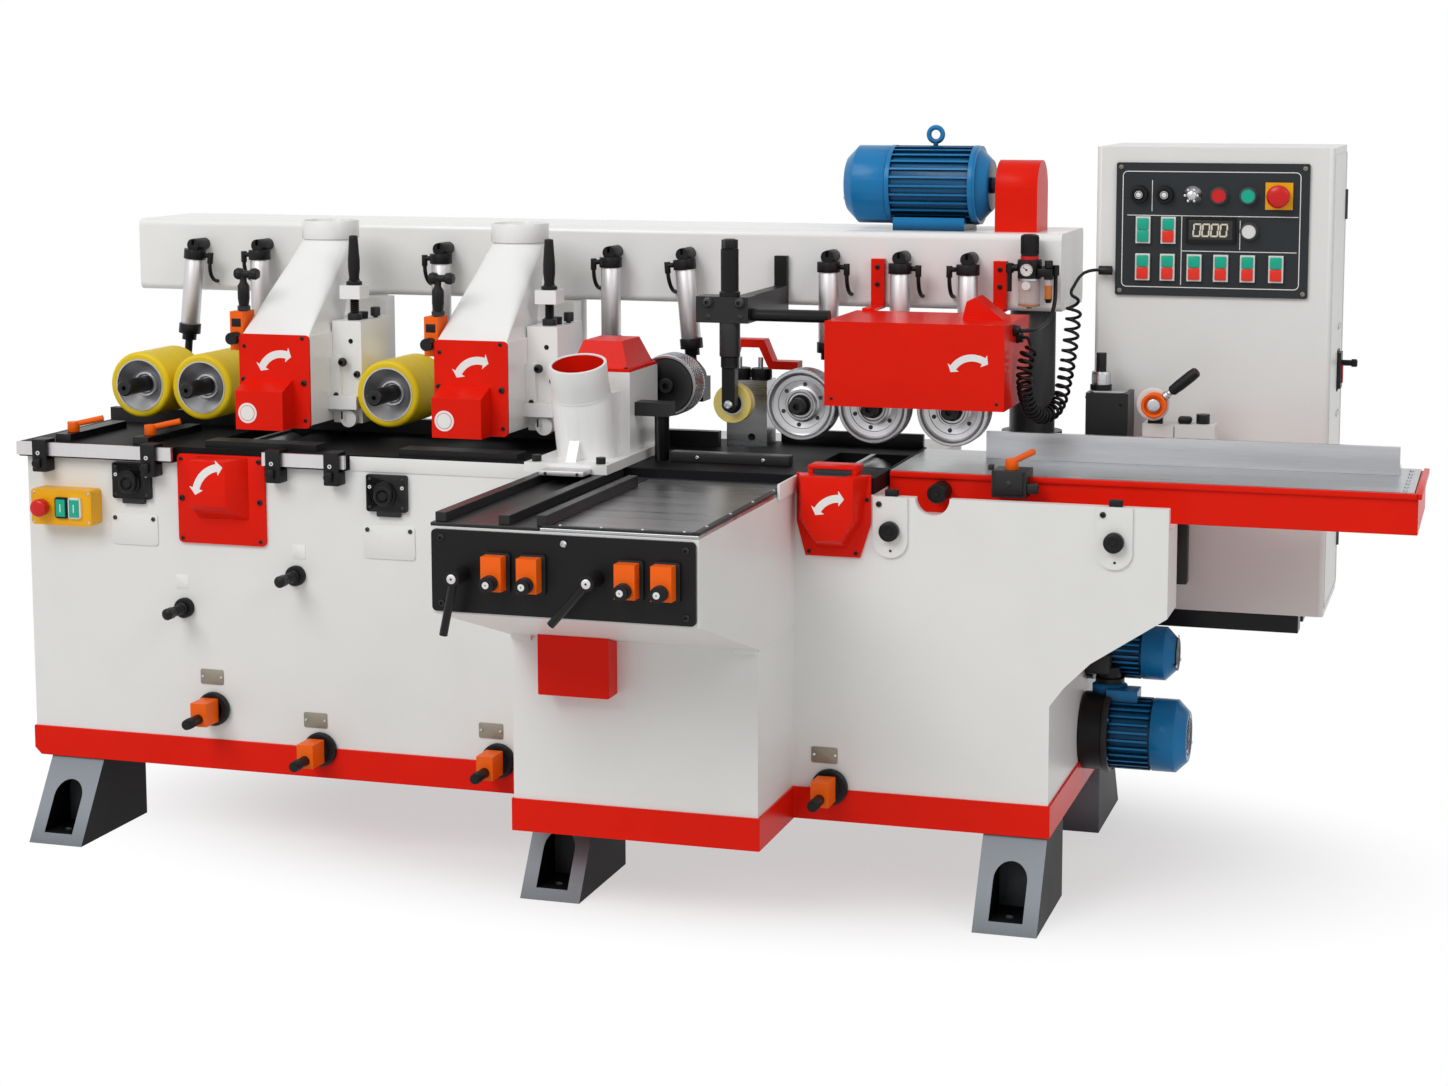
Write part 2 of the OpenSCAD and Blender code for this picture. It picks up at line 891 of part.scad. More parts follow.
module base_frame() color(white) difference() {
    union() {
        span([-base_left, bed_right], [front, base_back], [base_z, base_top]);
        span([bed_right, base_right], [front, base_back], [base_z, apron_z]);
        along_y([front, front + corner_d])
            polygon(concat(
                [for (s = corner_under_shares) [base_right + s[0] * (corner_right - base_right),
                    corner_low + s[1] * (corner_tip - corner_low)]],
                [[corner_right, apron_z], [base_right, apron_z]]));
        difference() {
            span([bed_right, corner_right], [front, front + front_wall_t], [apron_z, wall_top]);
            rod_y(notch_r, notch_x, grow([front, front + front_wall_t], over), wall_top);
        }
        span([pedestal_inset - arm_left, arm_right - pedestal_inset], [-pedestal_front, front],
            [base_z, gusset_z]);
    }
    for (x = [bottom_1_x, bottom_2_x]) {
        cutter_pocket(x);
        rod_y(shaft_r + run_gap, x, [front - over, cutter_y], bottom_cutter_z);
    }
    rod_z(side_shaft_r + run_gap, right_cutter_x, right_cutter_y,
        [base_top - right_bore_d, base_top + over]);
    span([cabinet_left - cabinet_relief, base_right + over],
        [cabinet_front - cabinet_relief, base_back + over], [base_z, apron_z + over]);
}
module bed_plate() color(black) difference() {
    union() {
        span([-bed_left, bed_right], [front, bed_back], [base_top, bed_z]);
        span([-bed_left, left_cover_x[0] - trim_gap], [front - bed_lip, front], [base_top, bed_z]);
        span([left_cover_x[1] + trim_gap, trim_right], [front - bed_lip, front], [base_top, bed_z]);
    }
    for (x = [bottom_1_x, bottom_2_x]) cutter_pocket(x);
    rod_z(side_shaft_r + over, right_cutter_x, right_cutter_y, [base_top - over, bed_z + over]);
}
module trim_piece(x) {
    y = front - bed_lip;
    span(x, [y - trim_t, y], [bed_z - trim_h, bed_z]);
}
module bed_rails() {
    color(steel) trim_piece([-bed_left, left_cover_x[0] - trim_gap]);
    color(steel) trim_piece([left_cover_x[1] + trim_gap, trim_right]);
    color(black) for (x = clip_x) {
        y = front - bed_lip - trim_t;
        span([x - clip_half, x + clip_half], [y - clip_t, y - seat], [bed_z - clip_drop, bed_z + clip_t]);
        span([x - clip_half, x + clip_half], [y - clip_t, front], [bed_z + seat, bed_z + clip_t]);
    }
    color(dark) for (x = [rear_fence_x, mid_fence_x])
        span(x, [fence_y, fence_y + rear_fence_t], [bed_z, bed_z + rear_fence_h]);
    color(black) for (x = bar_x) {
        span([x - bar_half, x + bar_half], bar_y, [bed_z, bed_z + bar_h]);
        rod_z(lever_post_r, x, lever_post_y, [bed_z + bar_h, bed_z + bar_h + lever_hub_h]);
    }
    color(black) for (x = lip_x) span(x, lip_y, [bed_z, bed_z + lip_h]);
}

// The feed beam, with its columns and the posts that carry the top heads
module feed_beam() {
    color(white) along_x([-beam_left, beam_right])
        round_rect([beam_front, beam_front + beam_d], [beam_z, beam_top], beam_edge);
    color(white) for (i = [0, 1]) {
        x = i == 0 ? head_2_x : head_1_x;
        span([x - post_half, x + post_half], post_y, [base_top, beam_z]);
        span([column_x[i] - gib_half, column_x[i] + gib_half], [post_y[1], column_y],
            [base_top, beam_z]);
        rod_z(column_r, column_x[i], column_y, [base_top, beam_z]);
    }
    color(dark) {
        rod_z(pole_r, pole_x, pole_y, [apron_z, beam_z - seat]);
        rod_z(pole_foot_r, pole_x, pole_y, [apron_z, apron_z + pole_foot_h]);
    }
}

// Motors: a finned body, a fan cowl and an end bell on an axis along X
module motor_shell(r, body, fins) {
    rod_x(r, body, 0, 0);
    for (k = [0 : fins - 1]) rotate([360 * k / fins, 0, 0])
        span(grow(body, -fin_t), [-fin_t / 2, fin_t / 2], [r / 2, r + fin_out]);
}
module cowl(r, x, dir) {
    chamfer = min(cowl_chamfer, r / 2);
    flat = dir > 0 ? x[0] : x[1];
    translate([flat, 0, 0]) rotate([0, 90 * dir, 0]) rotate_extrude()
        polygon([[0, 0], [r, 0], [r, x[1] - x[0] - chamfer], [r - chamfer, x[1] - x[0]],
            [0, x[1] - x[0]]]);
}
module feed_motor() color(blue) translate([0, motor_y, motor_z]) {
    motor_shell(motor_r, motor_x, fin_count);
    cowl(cowl_r, cowl_x, -1);
    rod_x(motor_r + fin_out, [motor_x[1] - fin_t, bell_x[0] + fin_t * 2], 0, 0);
    cowl(motor_r, bell_x, 1);
    rod_x(shaft_end_r, [bell_x[1], guard_x[0]], 0, 0);
    span(motor_foot_x, [-motor_foot_half, motor_foot_half],
        [beam_top - motor_z, beam_top - motor_z + motor_foot_h]);
    rod_z(eye_bar, eye_x, 0, [motor_r / 2, motor_r + eye_stem]);
    translate([eye_x, 0, motor_r + eye_stem + eye_r]) rotate([90, 0, 0])
        rotate_extrude() translate([eye_r, 0]) circle(eye_bar);
}
module belt_guard() color(red) along_x(guard_x) {
    translate([motor_y - guard_half, beam_top]) square([2 * guard_half, guard_h - guard_half]);
    translate([motor_y, beam_top + guard_h - guard_half]) circle(guard_half);
}
module drive_motors() {
    color(blue) translate([0, drive_y, drive_z]) {
        motor_shell(drive_r, drive_x, fin_count);
        cowl(drive_r + fin_out, drive_cowl_x, 1);
        span(about(middle(drive_x), drive_box_w), about(0, drive_box_d),
            [drive_r / 2, drive_r + drive_box_h]);
    }
    color(black) rod_x(drive_flange_r, [base_right, drive_x[0] - seat], drive_y, drive_z);
    color(blue) translate([0, small_y, small_z]) {
        motor_shell(small_r, small_x, fin_count);
        cowl(small_r + fin_out, small_cowl_x, 1);
    }
    color(black) rod_x(small_flange_r, [base_right, small_x[0] - seat], small_y, small_z);
}

// Air cylinders on the beam's face
module at_cylinder(i)
    translate([cylinder_x[i], cylinder_y, cylinder_foot]) rotate([0, cylinder_tilt[i], 0]) children();
module air_cylinder(side) {
    color(steel) difference() {
        rod_z(barrel_r, 0, 0, grow([barrel_low, barrel_top], -seat));
        rod_z(bore_r, 0, 0, grow([barrel_low, barrel_top], over));
    }
    color(black) difference() {
        union() {
            rod_z(cap_r, 0, 0, [barrel_low - cap_t, barrel_low]);
            rod_z(nose_r, 0, 0, [barrel_low - cap_t - nose_t, barrel_low - cap_t]);
        }
        rod_z(rod_r + run_gap, 0, 0, [0, barrel_low + over]);
    }
    reach = beam_front - cylinder_y - seat;
    color(black) difference() {
        cap_top = barrel_top + cap_t;
        clevis_z = cap_top + clevis_r - clevis_sink;
        union() {
            rod_z(cap_r, 0, 0, [barrel_top, cap_top]);
            rod_y(clevis_r, 0, [-clevis_r, reach], clevis_z);
            span([-clevis_neck, clevis_neck], [-clevis_neck, clevis_neck], [cap_top, clevis_z]);
        }
        span([-clevis_gap / 2, clevis_gap / 2], [-clevis_r - over, 0],
            [clevis_z, clevis_z + clevis_r + over]);
    }
    elbow_z = barrel_top + cap_t / 2;
    elbow_x = side * (cap_r + elbow_len);
    rotate([0, 0, side > 0 ? 0 : 180]) color(black) {
        rod_x(elbow_r - over, [cap_r + seat, cap_r + elbow_len], 0, elbow_z);
        rod_z(elbow_r, cap_r + elbow_len, 0, [elbow_z - elbow_drop, elbow_z + elbow_r + over]);
    }
    color(black) translate([elbow_x, reach, elbow_z - elbow_drop - seat]) rotate([-90, 0, -90])
        rotate_extrude(angle = 90) translate([reach, 0]) circle(hose_r);
}
module air_cylinders()
    for (i = [0 : len(cylinder_x) - 1]) at_cylinder(i) air_cylinder(elbow_side[i]);

// Carriers: a piston rod, the block at its foot and the bearing housing of a feed roller
module piston_rod(i) at_cylinder(i) {
    rod_z(rod_r, 0, 0, [0, rod_end]);
    rod_z(bore_r - slide_gap, 0, 0, [barrel_low + slide_gap, barrel_low + slide_gap + piston_t]);
}
module foot_block(i, x)
    span([min(cylinder_x[i], x) - block_x, max(cylinder_x[i], x) + block_x],
        [cylinder_y - block_half, cylinder_y + block_half],
        [cylinder_foot - block_low, cylinder_foot + block_high]);
module carrier(i, back, z) color(black) difference() {
    x = roller_x[i];
    union() {
        piston_rod(i);
        foot_block(i, x);
        rod_y(housing_r, x, [back + slide_gap, cylinder_y - block_half + over], z);
    }
    rod_y(axle_r + run_gap, x, [back, axle_end + slide_gap], z);
}
module carrier_1() carrier(0, soft_back, roller_z);
module carrier_2() carrier(1, soft_back, roller_z);
module carrier_3() carrier(2, soft_back, roller_z);
module carrier_4() carrier(3, wheel_4_disc[1], roller_z + wheel_4_rise);
module carrier_5() carrier(4, steel_back, roller_z);
module carrier_6() carrier(5, steel_back, roller_z);
module carrier_7() carrier(6, steel_back, roller_z);

// The shoe between the side heads and the first top head
shoe_y = [60, 160];
shoe_rise = 33;
shoe_t = 15;
shoe_arm_half = 15;
module pressure_shoe() color(black) {
    x = cylinder_x[7];
    piston_rod(7);
    foot_block(7, x);
    span([x - shoe_arm_half, x + shoe_arm_half], [shoe_y[0], cylinder_y],
        [cylinder_foot - block_low + slide_gap, cylinder_foot]);
    span([x - shoe_arm_half, x + shoe_arm_half], [shoe_y[0], shoe_y[1]],
        [bed_z + shoe_rise, cylinder_foot]);
    span([x - shoe_half, x + shoe_half], shoe_y, [bed_z + shoe_rise, bed_z + shoe_rise + shoe_t]);
}

// Feed rollers
soft_edge = 5;
stub_len = 62;
stub_r = 16;
dish_d = 34;
dish_r = 52;
dish_lip = 3;
collar_r = 24;
module soft_roller(i) color(yellow)
    translate([roller_x[i], soft_front, roller_z]) rotate([-90, 0, 0]) rotate_extrude()
        polygon([
            [0, -stub_len], [stub_r, -stub_len], [stub_r, dish_d - dish_lip * 2],
            [collar_r, dish_d - dish_lip * 2], [collar_r, dish_d], [dish_r, dish_lip],
            [dish_r, 0], [soft_d / 2 - soft_edge, 0], [soft_d / 2, soft_edge],
            [soft_d / 2, soft_w - soft_edge], [soft_d / 2 - soft_edge, soft_w],
            [axle_r, soft_w], [axle_r, axle_end - soft_front], [0, axle_end - soft_front]]);
tooth_d = 3;
rim_t = 9;
web_in = 14;
web_t = 14;
wheel_hub_r = 30;
wheel_nose_r = 17;
wheel_nose = 30;
hole_ring_share = 0.62;
hole_r = 7;
hole_count = 6;
module serrated(r, w) rotate([90, 0, 0]) translate([0, 0, -w]) linear_extrude(w)
    polygon([for (k = [0 : 2 * steel_teeth - 1])
        let (a = 180 * k / steel_teeth, d = k % 2 == 0 ? r : r - tooth_d) d * [cos(a), sin(a)]]);
module steel_wheel(i, d, w, y, z, nose) color(steel) translate([roller_x[i], y, z]) {
    r = d / 2;
    difference() {
        serrated(r, w);
        rod_y(r - rim_t, 0, [-over, web_in], 0);
        rod_y(r - rim_t, 0, [web_in + web_t, w + over], 0);
        for (k = [0 : hole_count - 1]) rotate([0, 360 * k / hole_count, 0])
            rod_y(hole_r, hole_ring_share * r, [0, w], 0);
    }
    rod_y(wheel_hub_r, 0, [dish_lip, w], 0);
    rod_y(wheel_nose_r, 0, [-nose, w], 0);
    rod_y(axle_r, 0, [0, axle_end - y], 0);
}
module feed_roller_1() soft_roller(0);
module feed_roller_2() soft_roller(1);
module feed_roller_3() soft_roller(2);
module feed_roller_4() {
    z = roller_z + wheel_4_rise;
    steel_wheel(3, wheel_4_d, wheel_4_w, wheel_4_front, z, wheel_4_nose);
    color(black) rod_y(wheel_4_disc_r, roller_x[3], wheel_4_disc, z);
}
module feed_roller_5() steel_wheel(4, steel_d, steel_w, steel_front, roller_z, wheel_nose);
module feed_roller_6() steel_wheel(5, steel_d, steel_w, steel_front, roller_z, wheel_nose);
module feed_roller_7() steel_wheel(6, steel_d, steel_w, steel_front, roller_z, wheel_nose);

// The guard over the infeed wheels, open below and behind
module roller_guard() color(red) {
    span(shroud_x, [shroud_y[0], shroud_y[0] + shroud_t], shroud_z);
    span(shroud_x, shroud_y, [shroud_z[1] - shroud_t, shroud_z[1]]);
    span([shroud_x[1] - shroud_t, shroud_x[1]], shroud_y, shroud_z);
    span([shroud_x[0], shroud_x[0] + shroud_t], shroud_y, [shroud_side_z, shroud_z[1]]);
    for (x = strap_x) {
        span([x - strap_half, x + strap_half], [beam_front - strap_t, beam_front],
            [beam_z, beam_z + strap_rise]);
        span([x - strap_half, x + strap_half], [strap_foot_y, beam_front],
            [beam_z, beam_z + strap_foot]);
    }
    along_y(wedge_y) polygon([for (s = wedge_shares)
        [wedge_x[0] + s[0] * (wedge_x[1] - wedge_x[0]), shroud_z[1] + s[1] * wedge_h]]);
    for (f = [fitting_1, fitting_2])
        rod_x(fitting_r, [shroud_x[1], shroud_x[1] + fitting_len], f[0], f[1]);
}

// Cutter blocks with four knives
module cutter_block(r, w) {
    cylinder(r = r - knife_proud, h = w);
    for (a = [0 : 90 : 270]) rotate([0, 0, a])
        translate([r / 2, -knife_t / 2, 0]) cube([r / 2, knife_t, w]);
}
module level_cutter(x, z, y) color(steel) {
    translate([x, cutter_y, z]) rotate([-90, 0, 0]) cutter_block(cutter_d / 2, cutter_w);
    rod_y(shaft_r, x, y, z);
}
module top_cutter_1() level_cutter(head_1_x, top_cutter_z, [cutter_y - cutter_room, quill_end]);
module top_cutter_2() level_cutter(head_2_x, top_cutter_z, [cutter_y - cutter_room, quill_end]);
module bottom_cutter_1() level_cutter(bottom_1_x, bottom_cutter_z, [front, cutter_end]);
module bottom_cutter_2() level_cutter(bottom_2_x, bottom_cutter_z, [front, cutter_end]);
module left_cutter() color(steel) {
    translate([left_cutter_x, left_cutter_y, bed_z + side_plate_t + side_cutter_rise])
        cutter_block(side_cutter_r, side_cutter_h);
    rod_z(side_shaft_r, left_cutter_x, left_cutter_y,
        [bed_z + side_cutter_rise, bed_z + side_plate_t + side_cutter_h + cutter_room]);
}
module right_cutter() color(steel) {
    translate([right_cutter_x, right_cutter_y, bed_z + side_cutter_rise])
        cutter_block(side_cutter_r, side_cutter_h);
    rod_z(side_shaft_r, right_cutter_x, right_cutter_y,
        [base_top - right_bore_d + over, bed_z + side_cutter_h + cutter_room]);
}

// Top heads: hood and duct, slide casting with its screw, quill and cover
module duct(inset, r, low, high) {
    half = hood_w / 2 - duct_inset - inset;
    hull() {
        span([-half, half], [hood_front + duct_inset + inset, duct_back - inset],
            [low, low + duct_inset]);
        rod_z(r, 0, outlet_y, [high - duct_inset, high]);
    }
}
module hood_shell() difference() {
    half = hood_w / 2;
    duct_top = hood_top + duct_rise;
    neck_r = outlet_d / 2 - outlet_wall - over;
    union() {
        span([-half, half], [hood_front, hood_back], [hood_low, hood_top]);
        duct(0, neck_r, hood_top - duct_inset, duct_top);
        rod_z(outlet_d / 2, 0, outlet_y, [duct_top, duct_top + outlet_len]);
        rod_y(quill_r, 0, [hood_back - wall, quill_end], top_cutter_z);
        span([-slide_half, slide_half], [quill_end - wall, post_y[0] - slide_gap], slide_z);
    }
    span([wall - half, half - wall], [hood_front + wall, hood_back - wall],
        [hood_low - over, hood_top - wall]);
    duct(outlet_wall, neck_r - outlet_wall, hood_top - wall - over, duct_top - over);
    rod_z(neck_r - outlet_wall, 0, outlet_y, [duct_top - 2 * over, duct_top + outlet_wall + over]);
    rod_z(neck_r + over, 0, outlet_y, [duct_top + outlet_wall, duct_top + outlet_len + over]);
    rod_y(shaft_r + run_gap, 0, [hood_back - wall - over, quill_end + over], top_cutter_z);
}
module casting() {
    x0 = casting_x[0] + seat;
    span([x0, casting_x[1]], casting_y, casting_z);
    span([x0, casting_x[0] + flange_x], [casting_y[0] - flange_y, casting_y[0]], flange_z);
    span([x0, casting_x[1] - over], [casting_y[0] - step_y, casting_y[0]], step_z);
    rod_y(lug_r, casting_x[1] - lug_x, [casting_y[0] - lug_t, casting_y[0]], lug_z);
}
module screw_post() {
    span([screw_x - screw_plate_half, screw_x + screw_plate_half],
        [screw_y - screw_plate_half, screw_y + screw_plate_half], screw_plate_z);
    rod_z(screw_r, screw_x, screw_y, [casting_z[1] + seat, screw_plate_z[0]]);
}
module grip() translate([screw_x, screw_y, screw_plate_z[1] + seat]) rotate_extrude()
    polygon([[0, 0], [grip_waist_share * grip_r, 0], [grip_r, grip_len / 3],
        [grip_r, grip_len / 2], [grip_waist_share * grip_r, grip_len], [0, grip_len]]);
module hood_cover() {
    half = hood_w / 2 + over;
    top = hood_top + cover_rise;
    face = hood_front - cover_t - seat;
    along_y([face, hood_front - seat]) round_rect([-half, half], [cover_low, top], cover_corner);
    along_x([-hump_left, hump_right])
        polygon([[face, cover_low], [face, cover_low + hump_h + hump_slope],
            [face - hump_out, cover_low + hump_h], [face - hump_out, cover_low]]);
}
module top_head(x) translate([x, 0, 0]) {
    color(white) hood_shell();
    color(white) casting();
    color(red) hood_cover();
    color(white) screw_post();
    color(black) rod_z(screw_nut_r, screw_x, screw_y + 2 * screw_nut_r + over,
        [casting_z[1] + seat, casting_z[1] + screw_nut_t]);
    color(black) grip();
    color(orange) span([-hood_w / 2 - tag_x, -hood_w / 2 - seat], tag_y, tag_z);
    color(black) rod_y(tag_knob_r, -hood_w / 2 - tag_x / 2,
        [tag_y[0] - tag_knob_l, tag_y[0] - seat], tag_z[0] + tag_knob_z);
}
module top_head_1() top_head(head_1_x);
module top_head_2() top_head(head_2_x);

// The side head's hood, which slides on the arm
module side_pipe(r, low, high)
    translate([middle(side_box_x), side_pipe_y, bed_z + side_plate_t]) rotate([side_tilt, 0, 0])
        rod_z(r, 0, 0, [low, high]);
module side_shell() difference() {
    floor_z = bed_z + side_plate_t;
    union() {
        span(side_x, side_y, [bed_z + slide_gap, floor_z]);
        span(side_box_x, [side_box_y, side_y[1]], [floor_z - over, floor_z + side_box_h]);
        span(side_fill_x, [side_pipe_y, side_box_y + over], [floor_z - over, floor_z + side_fill_h]);
        intersection() {
            side_pipe(side_outlet_d / 2 + side_shoulder, -side_outlet_d, side_pipe_len - side_spigot_len);
            span(grow(side_x, side_pipe_len), grow(side_y, side_pipe_len),
                [floor_z - over, floor_z + 2 * side_pipe_len]);
        }
        side_pipe(side_outlet_d / 2, side_pipe_len - side_spigot_len - over, side_pipe_len);
        along_x([middle(side_box_x) - side_rib_t / 2, middle(side_box_x) + side_rib_t / 2])
            polygon([[side_y[0] + side_rib_t, floor_z - over], [side_pipe_y, floor_z - over],
                [side_pipe_y, floor_z + side_rib_h],
                [side_pipe_y - side_outlet_d / 2, floor_z + side_rib_h]]);
    }
    span(grow(side_box_x, -side_wall), [side_box_y + side_wall, side_y[1] + over],
        [floor_z, floor_z + side_box_h - side_wall]);
    side_pipe(side_outlet_d / 2 - side_wall, side_pipe_len - side_bore_len, side_pipe_len + over);
    rod_z(side_shaft_r + run_gap, left_cutter_x, left_cutter_y, [bed_z, floor_z + over]);
}
module side_cap() {
    base = bed_z + side_plate_t + side_box_h;
    x = grow(side_box_x, -over);
    y = [side_box_y + over, side_y[1] - over];
    lean = cap_lean_share * (y[1] - y[0]) * (1 - cap_top_share);
    half = cap_top_share * (x[1] - x[0]) / 2;
    deep = cap_top_share * (y[1] - y[0]);
    span(x, y, [base + seat, base + cap_base_h]);
    hull() {
        span(grow(x, -cap_base_h), grow(y, -cap_base_h), [base + cap_base_h - over, base + cap_base_h]);
        span([middle(x) - half, middle(x) + half], [y[0] + lean, y[0] + lean + deep],
            [base + cap_rise - over, base + cap_rise]);
    }
}
module side_hood() {
    color(white) side_shell();
    color(red) side_cap();
    color(black) for (x = grow(side_x, -side_bolt_in))
        rod_z(bolt_r, x, side_y[0] + side_bolt_in,
            [bed_z + side_plate_t + seat, bed_z + side_plate_t + bolt_t]);
    color(black) span([clamp_x[0] + seat, clamp_x[1]], clamp_y, clamp_z);
    color(black) rod_z(clamp_post_r, clamp_post_x, middle(clamp_y), [bed_z + slide_gap, clamp_z[0]]);
}

// The arm that carries the side head
module arm_frame() {
    color(white) along_x([-arm_left, arm_right])
        polygon([[-arm_front, arm_low], [-pedestal_front, gusset_z], [front, gusset_z],
            [front, arm_top], [-arm_front, arm_top]]);
    rise = gusset_drop * cable_box_d / (arm_front - pedestal_front);
    color(red) along_x(cable_box_x)
        polygon([[-pedestal_front - cable_box_d, cable_box_low], [-pedestal_front, cable_box_low],
            [-pedestal_front, gusset_z - slide_gap],
            [-pedestal_front - cable_box_d, gusset_z + rise - slide_gap]]);
}
module arm_panel() color(black) difference() {
    along_y([-arm_front - panel_t, -arm_front])
        round_rect([panel_inset - arm_left, arm_right - panel_inset],
            [arm_low + panel_inset, arm_top - panel_inset], panel_inset * 2);
    for (l = lever_xz)
        rod_y(clamp_pin_r + run_gap, l[0], grow([-arm_front - panel_t, -arm_front], over), lever_z(l));
}
function lever_z(l) = (arm_low + arm_top) / 2 + l[1];
module arm_table() {
    skin_z = [arm_top, arm_top + table_skin];
    color(black) span([-arm_left, skin_split - skin_gap], [-arm_front, front], skin_z);
    color(steel) span([skin_split, arm_right], [-arm_front, front], skin_z);
    color(black) for (x = rail_x) span(x, [-rail_front, front], [skin_z[1] + seat, bed_z]);
    color(black) span(frame_bar_x, [-rail_front, side_y[0]],
        [skin_z[1] + seat, skin_z[1] + frame_bar_h]);
}
module clamp_lever(k) color(black)
    translate([lever_xz[k][0], -arm_front - panel_t, lever_z(lever_xz[k])]) {
        rod_y(clamp_hub_r, 0, [-clamp_hub_len, -slide_gap], 0);
        rod_y(clamp_pin_r, 0, [-slide_gap, panel_t - slide_gap], 0);
        rotate([0, lever_turn[k], 0])
            rod_z(clamp_arm_r, 0, -clamp_arm_in, [-clamp_arm_l, -over]);
    }
module clamp_lever_1() clamp_lever(0);
module clamp_lever_2() clamp_lever(1);

// Dials: a black flange, an orange counter box and a black grip
module dial(x, z, y) {
    color(black) rod_y(dial_r, x, [y - dial_t, y], z);
    face = y - dial_t - dial_box_d;
    color(orange) span(about(x, dial_box_w), [face, y - dial_t - seat], about(z, dial_box_h));
    color(black) rod_y(dial_grip_r, x, [face - dial_grip_l, face - seat], z - dial_drop);
}
module panel_dial(x) {
    y = -arm_front - panel_t;
    z = (arm_low + arm_top) / 2 + panel_tag_rise;
    face = y - panel_tag_d;
    color(orange) span(about(x, panel_tag_w), [face, y - seat], about(z, panel_tag_h));
    color(black) rod_y(panel_knob_r, x, [face - panel_knob_l, face - seat], z - panel_knob_drop);
}
module position_indicators() {
    for (d = dial_xz) dial(d[0], d[1], d[1] > base_z + dial_r ? front : front - plinth_proud);
    for (x = tag_xs) panel_dial(x);
}
module bearing_plates() {
    for (x = bearing_x) color(black) {
        span([x - bearing_half, x + bearing_half], [front - bearing_t, front],
            [bearing_z - bearing_half, bearing_z + bearing_half - bearing_t]);
        rod_y(boss_r, x, [front - bearing_t - boss_len, front], bearing_z);
    }
    for (x = round_plate_x) {
        z = wall_top - round_plate_h;
        color(white) along_y([front - round_plate_t, front]) {
            translate([x, z]) circle(round_plate_r);
            translate([x - round_plate_r, z]) square([2 * round_plate_r, round_plate_h]);
        }
        color(black)
            rod_y(knob_r, x, [front - round_plate_t - knob_len, front - round_plate_t - seat], z + knob_r);
    }
    for (c = crank_xz) color(black) {
        rod_y(crank_flange_r, c[0], [front - crank_flange_t, front], c[1]);
        rod_y(crank_grip_r, c[0], [front - crank_flange_t - crank_grip_l, front], c[1]);
    }
}

// Red covers over the bottom heads
module spindle_covers() color(red) {
    along_y([front - cover_t, front]) round_rect(left_cover_x, left_cover_z, cover_corner);
    along_x([left_cover_x[0] + hump_slope, left_cover_x[1] - hump_slope])
        polygon([[front - cover_t, left_cover_z[0] + hump_slope],
            [front - cover_t, left_cover_z[1] - hump_slope],
            [front - cover_t - hump_out / 2, left_cover_z[1] - hump_out],
            [front - cover_t - hump_out / 2, left_cover_z[0] + hump_slope]]);
    z = right_cover_z;
    x = right_cover_x;
    along_y([front - cover_t, front])
        polygon([[x[0] + right_cover_toe, z[0]], [x[1] - right_cover_toe, z[0]],
            [x[1], z[0] + right_cover_waist], [x[1], z[1]], [x[0], z[1]],
            [x[0], z[0] + right_cover_waist]]);
    b = right_cover_bevel;
    out = front - right_cover_out;
    lid = grow(x, -right_lid_in);
    difference() {
    hull() {
        along_y([front - cover_t, front - cover_t + over])
            polygon([[x[0] + b + right_cover_toe, z[0] + b], [x[1] - b - right_cover_toe, z[0] + b],
                [x[1] - cover_t, z[0] + right_cover_waist], [x[1] - cover_t, z[1]],
                [x[0] + cover_t, z[1]], [x[0] + cover_t, z[0] + right_cover_waist]]);
        along_y([out, out + over])
            polygon([[x[0] + 2 * b, z[0] + 2 * b], [x[1] - 2 * b, z[0] + 2 * b],
                [x[1] - b, z[0] + right_cover_waist + b], [x[1] - b, z[1]], [x[0] + b, z[1]],
                [x[0] + b, z[0] + right_cover_waist + b]]);
    }
    span(grow(x, -right_slot_in), [out + cover_t, front - cover_t], [z[1] - right_slot_deep, z[1] + over]);
    }
    for (e = [[lid[0], lid[0] + cover_t], [lid[1] - cover_t, lid[1]]])
        span(e, [out + right_cover_bevel, front], [z[1], z[1] + right_lid_h]);
    span(lid, [out + right_cover_bevel, front + right_lid_back],
        [z[1] + right_lid_h - right_lid_t, z[1] + right_lid_h]);
}

// Start box on the left end of the base
module start_box() {
    y = front - start_d;
    color(yellow) difference() {
        along_y([y, front]) round_rect(start_x, start_z, start_corner);
        rod_y(mushroom_neck_r + run_gap, mushroom_x, [y - over, y + mushroom_neck + press_travel],
            middle(start_z));
    }
    color(green) for (x = [0, start_button_step])
        span(about(start_x[0] + start_button_in + x, start_button_w), [y - start_button_t, y - seat],
            about(middle(start_z), start_button_h));
}
module start_mushroom() color(red) {
    y = front - start_d;
    rod_y(mushroom_r, mushroom_x, [y - press_travel - over - mushroom_t, y - press_travel - over],
        middle(start_z));
    rod_y(mushroom_neck_r, mushroom_x, [y - press_travel - over - mushroom_t / 2, y + mushroom_neck - over],
        middle(start_z));
}

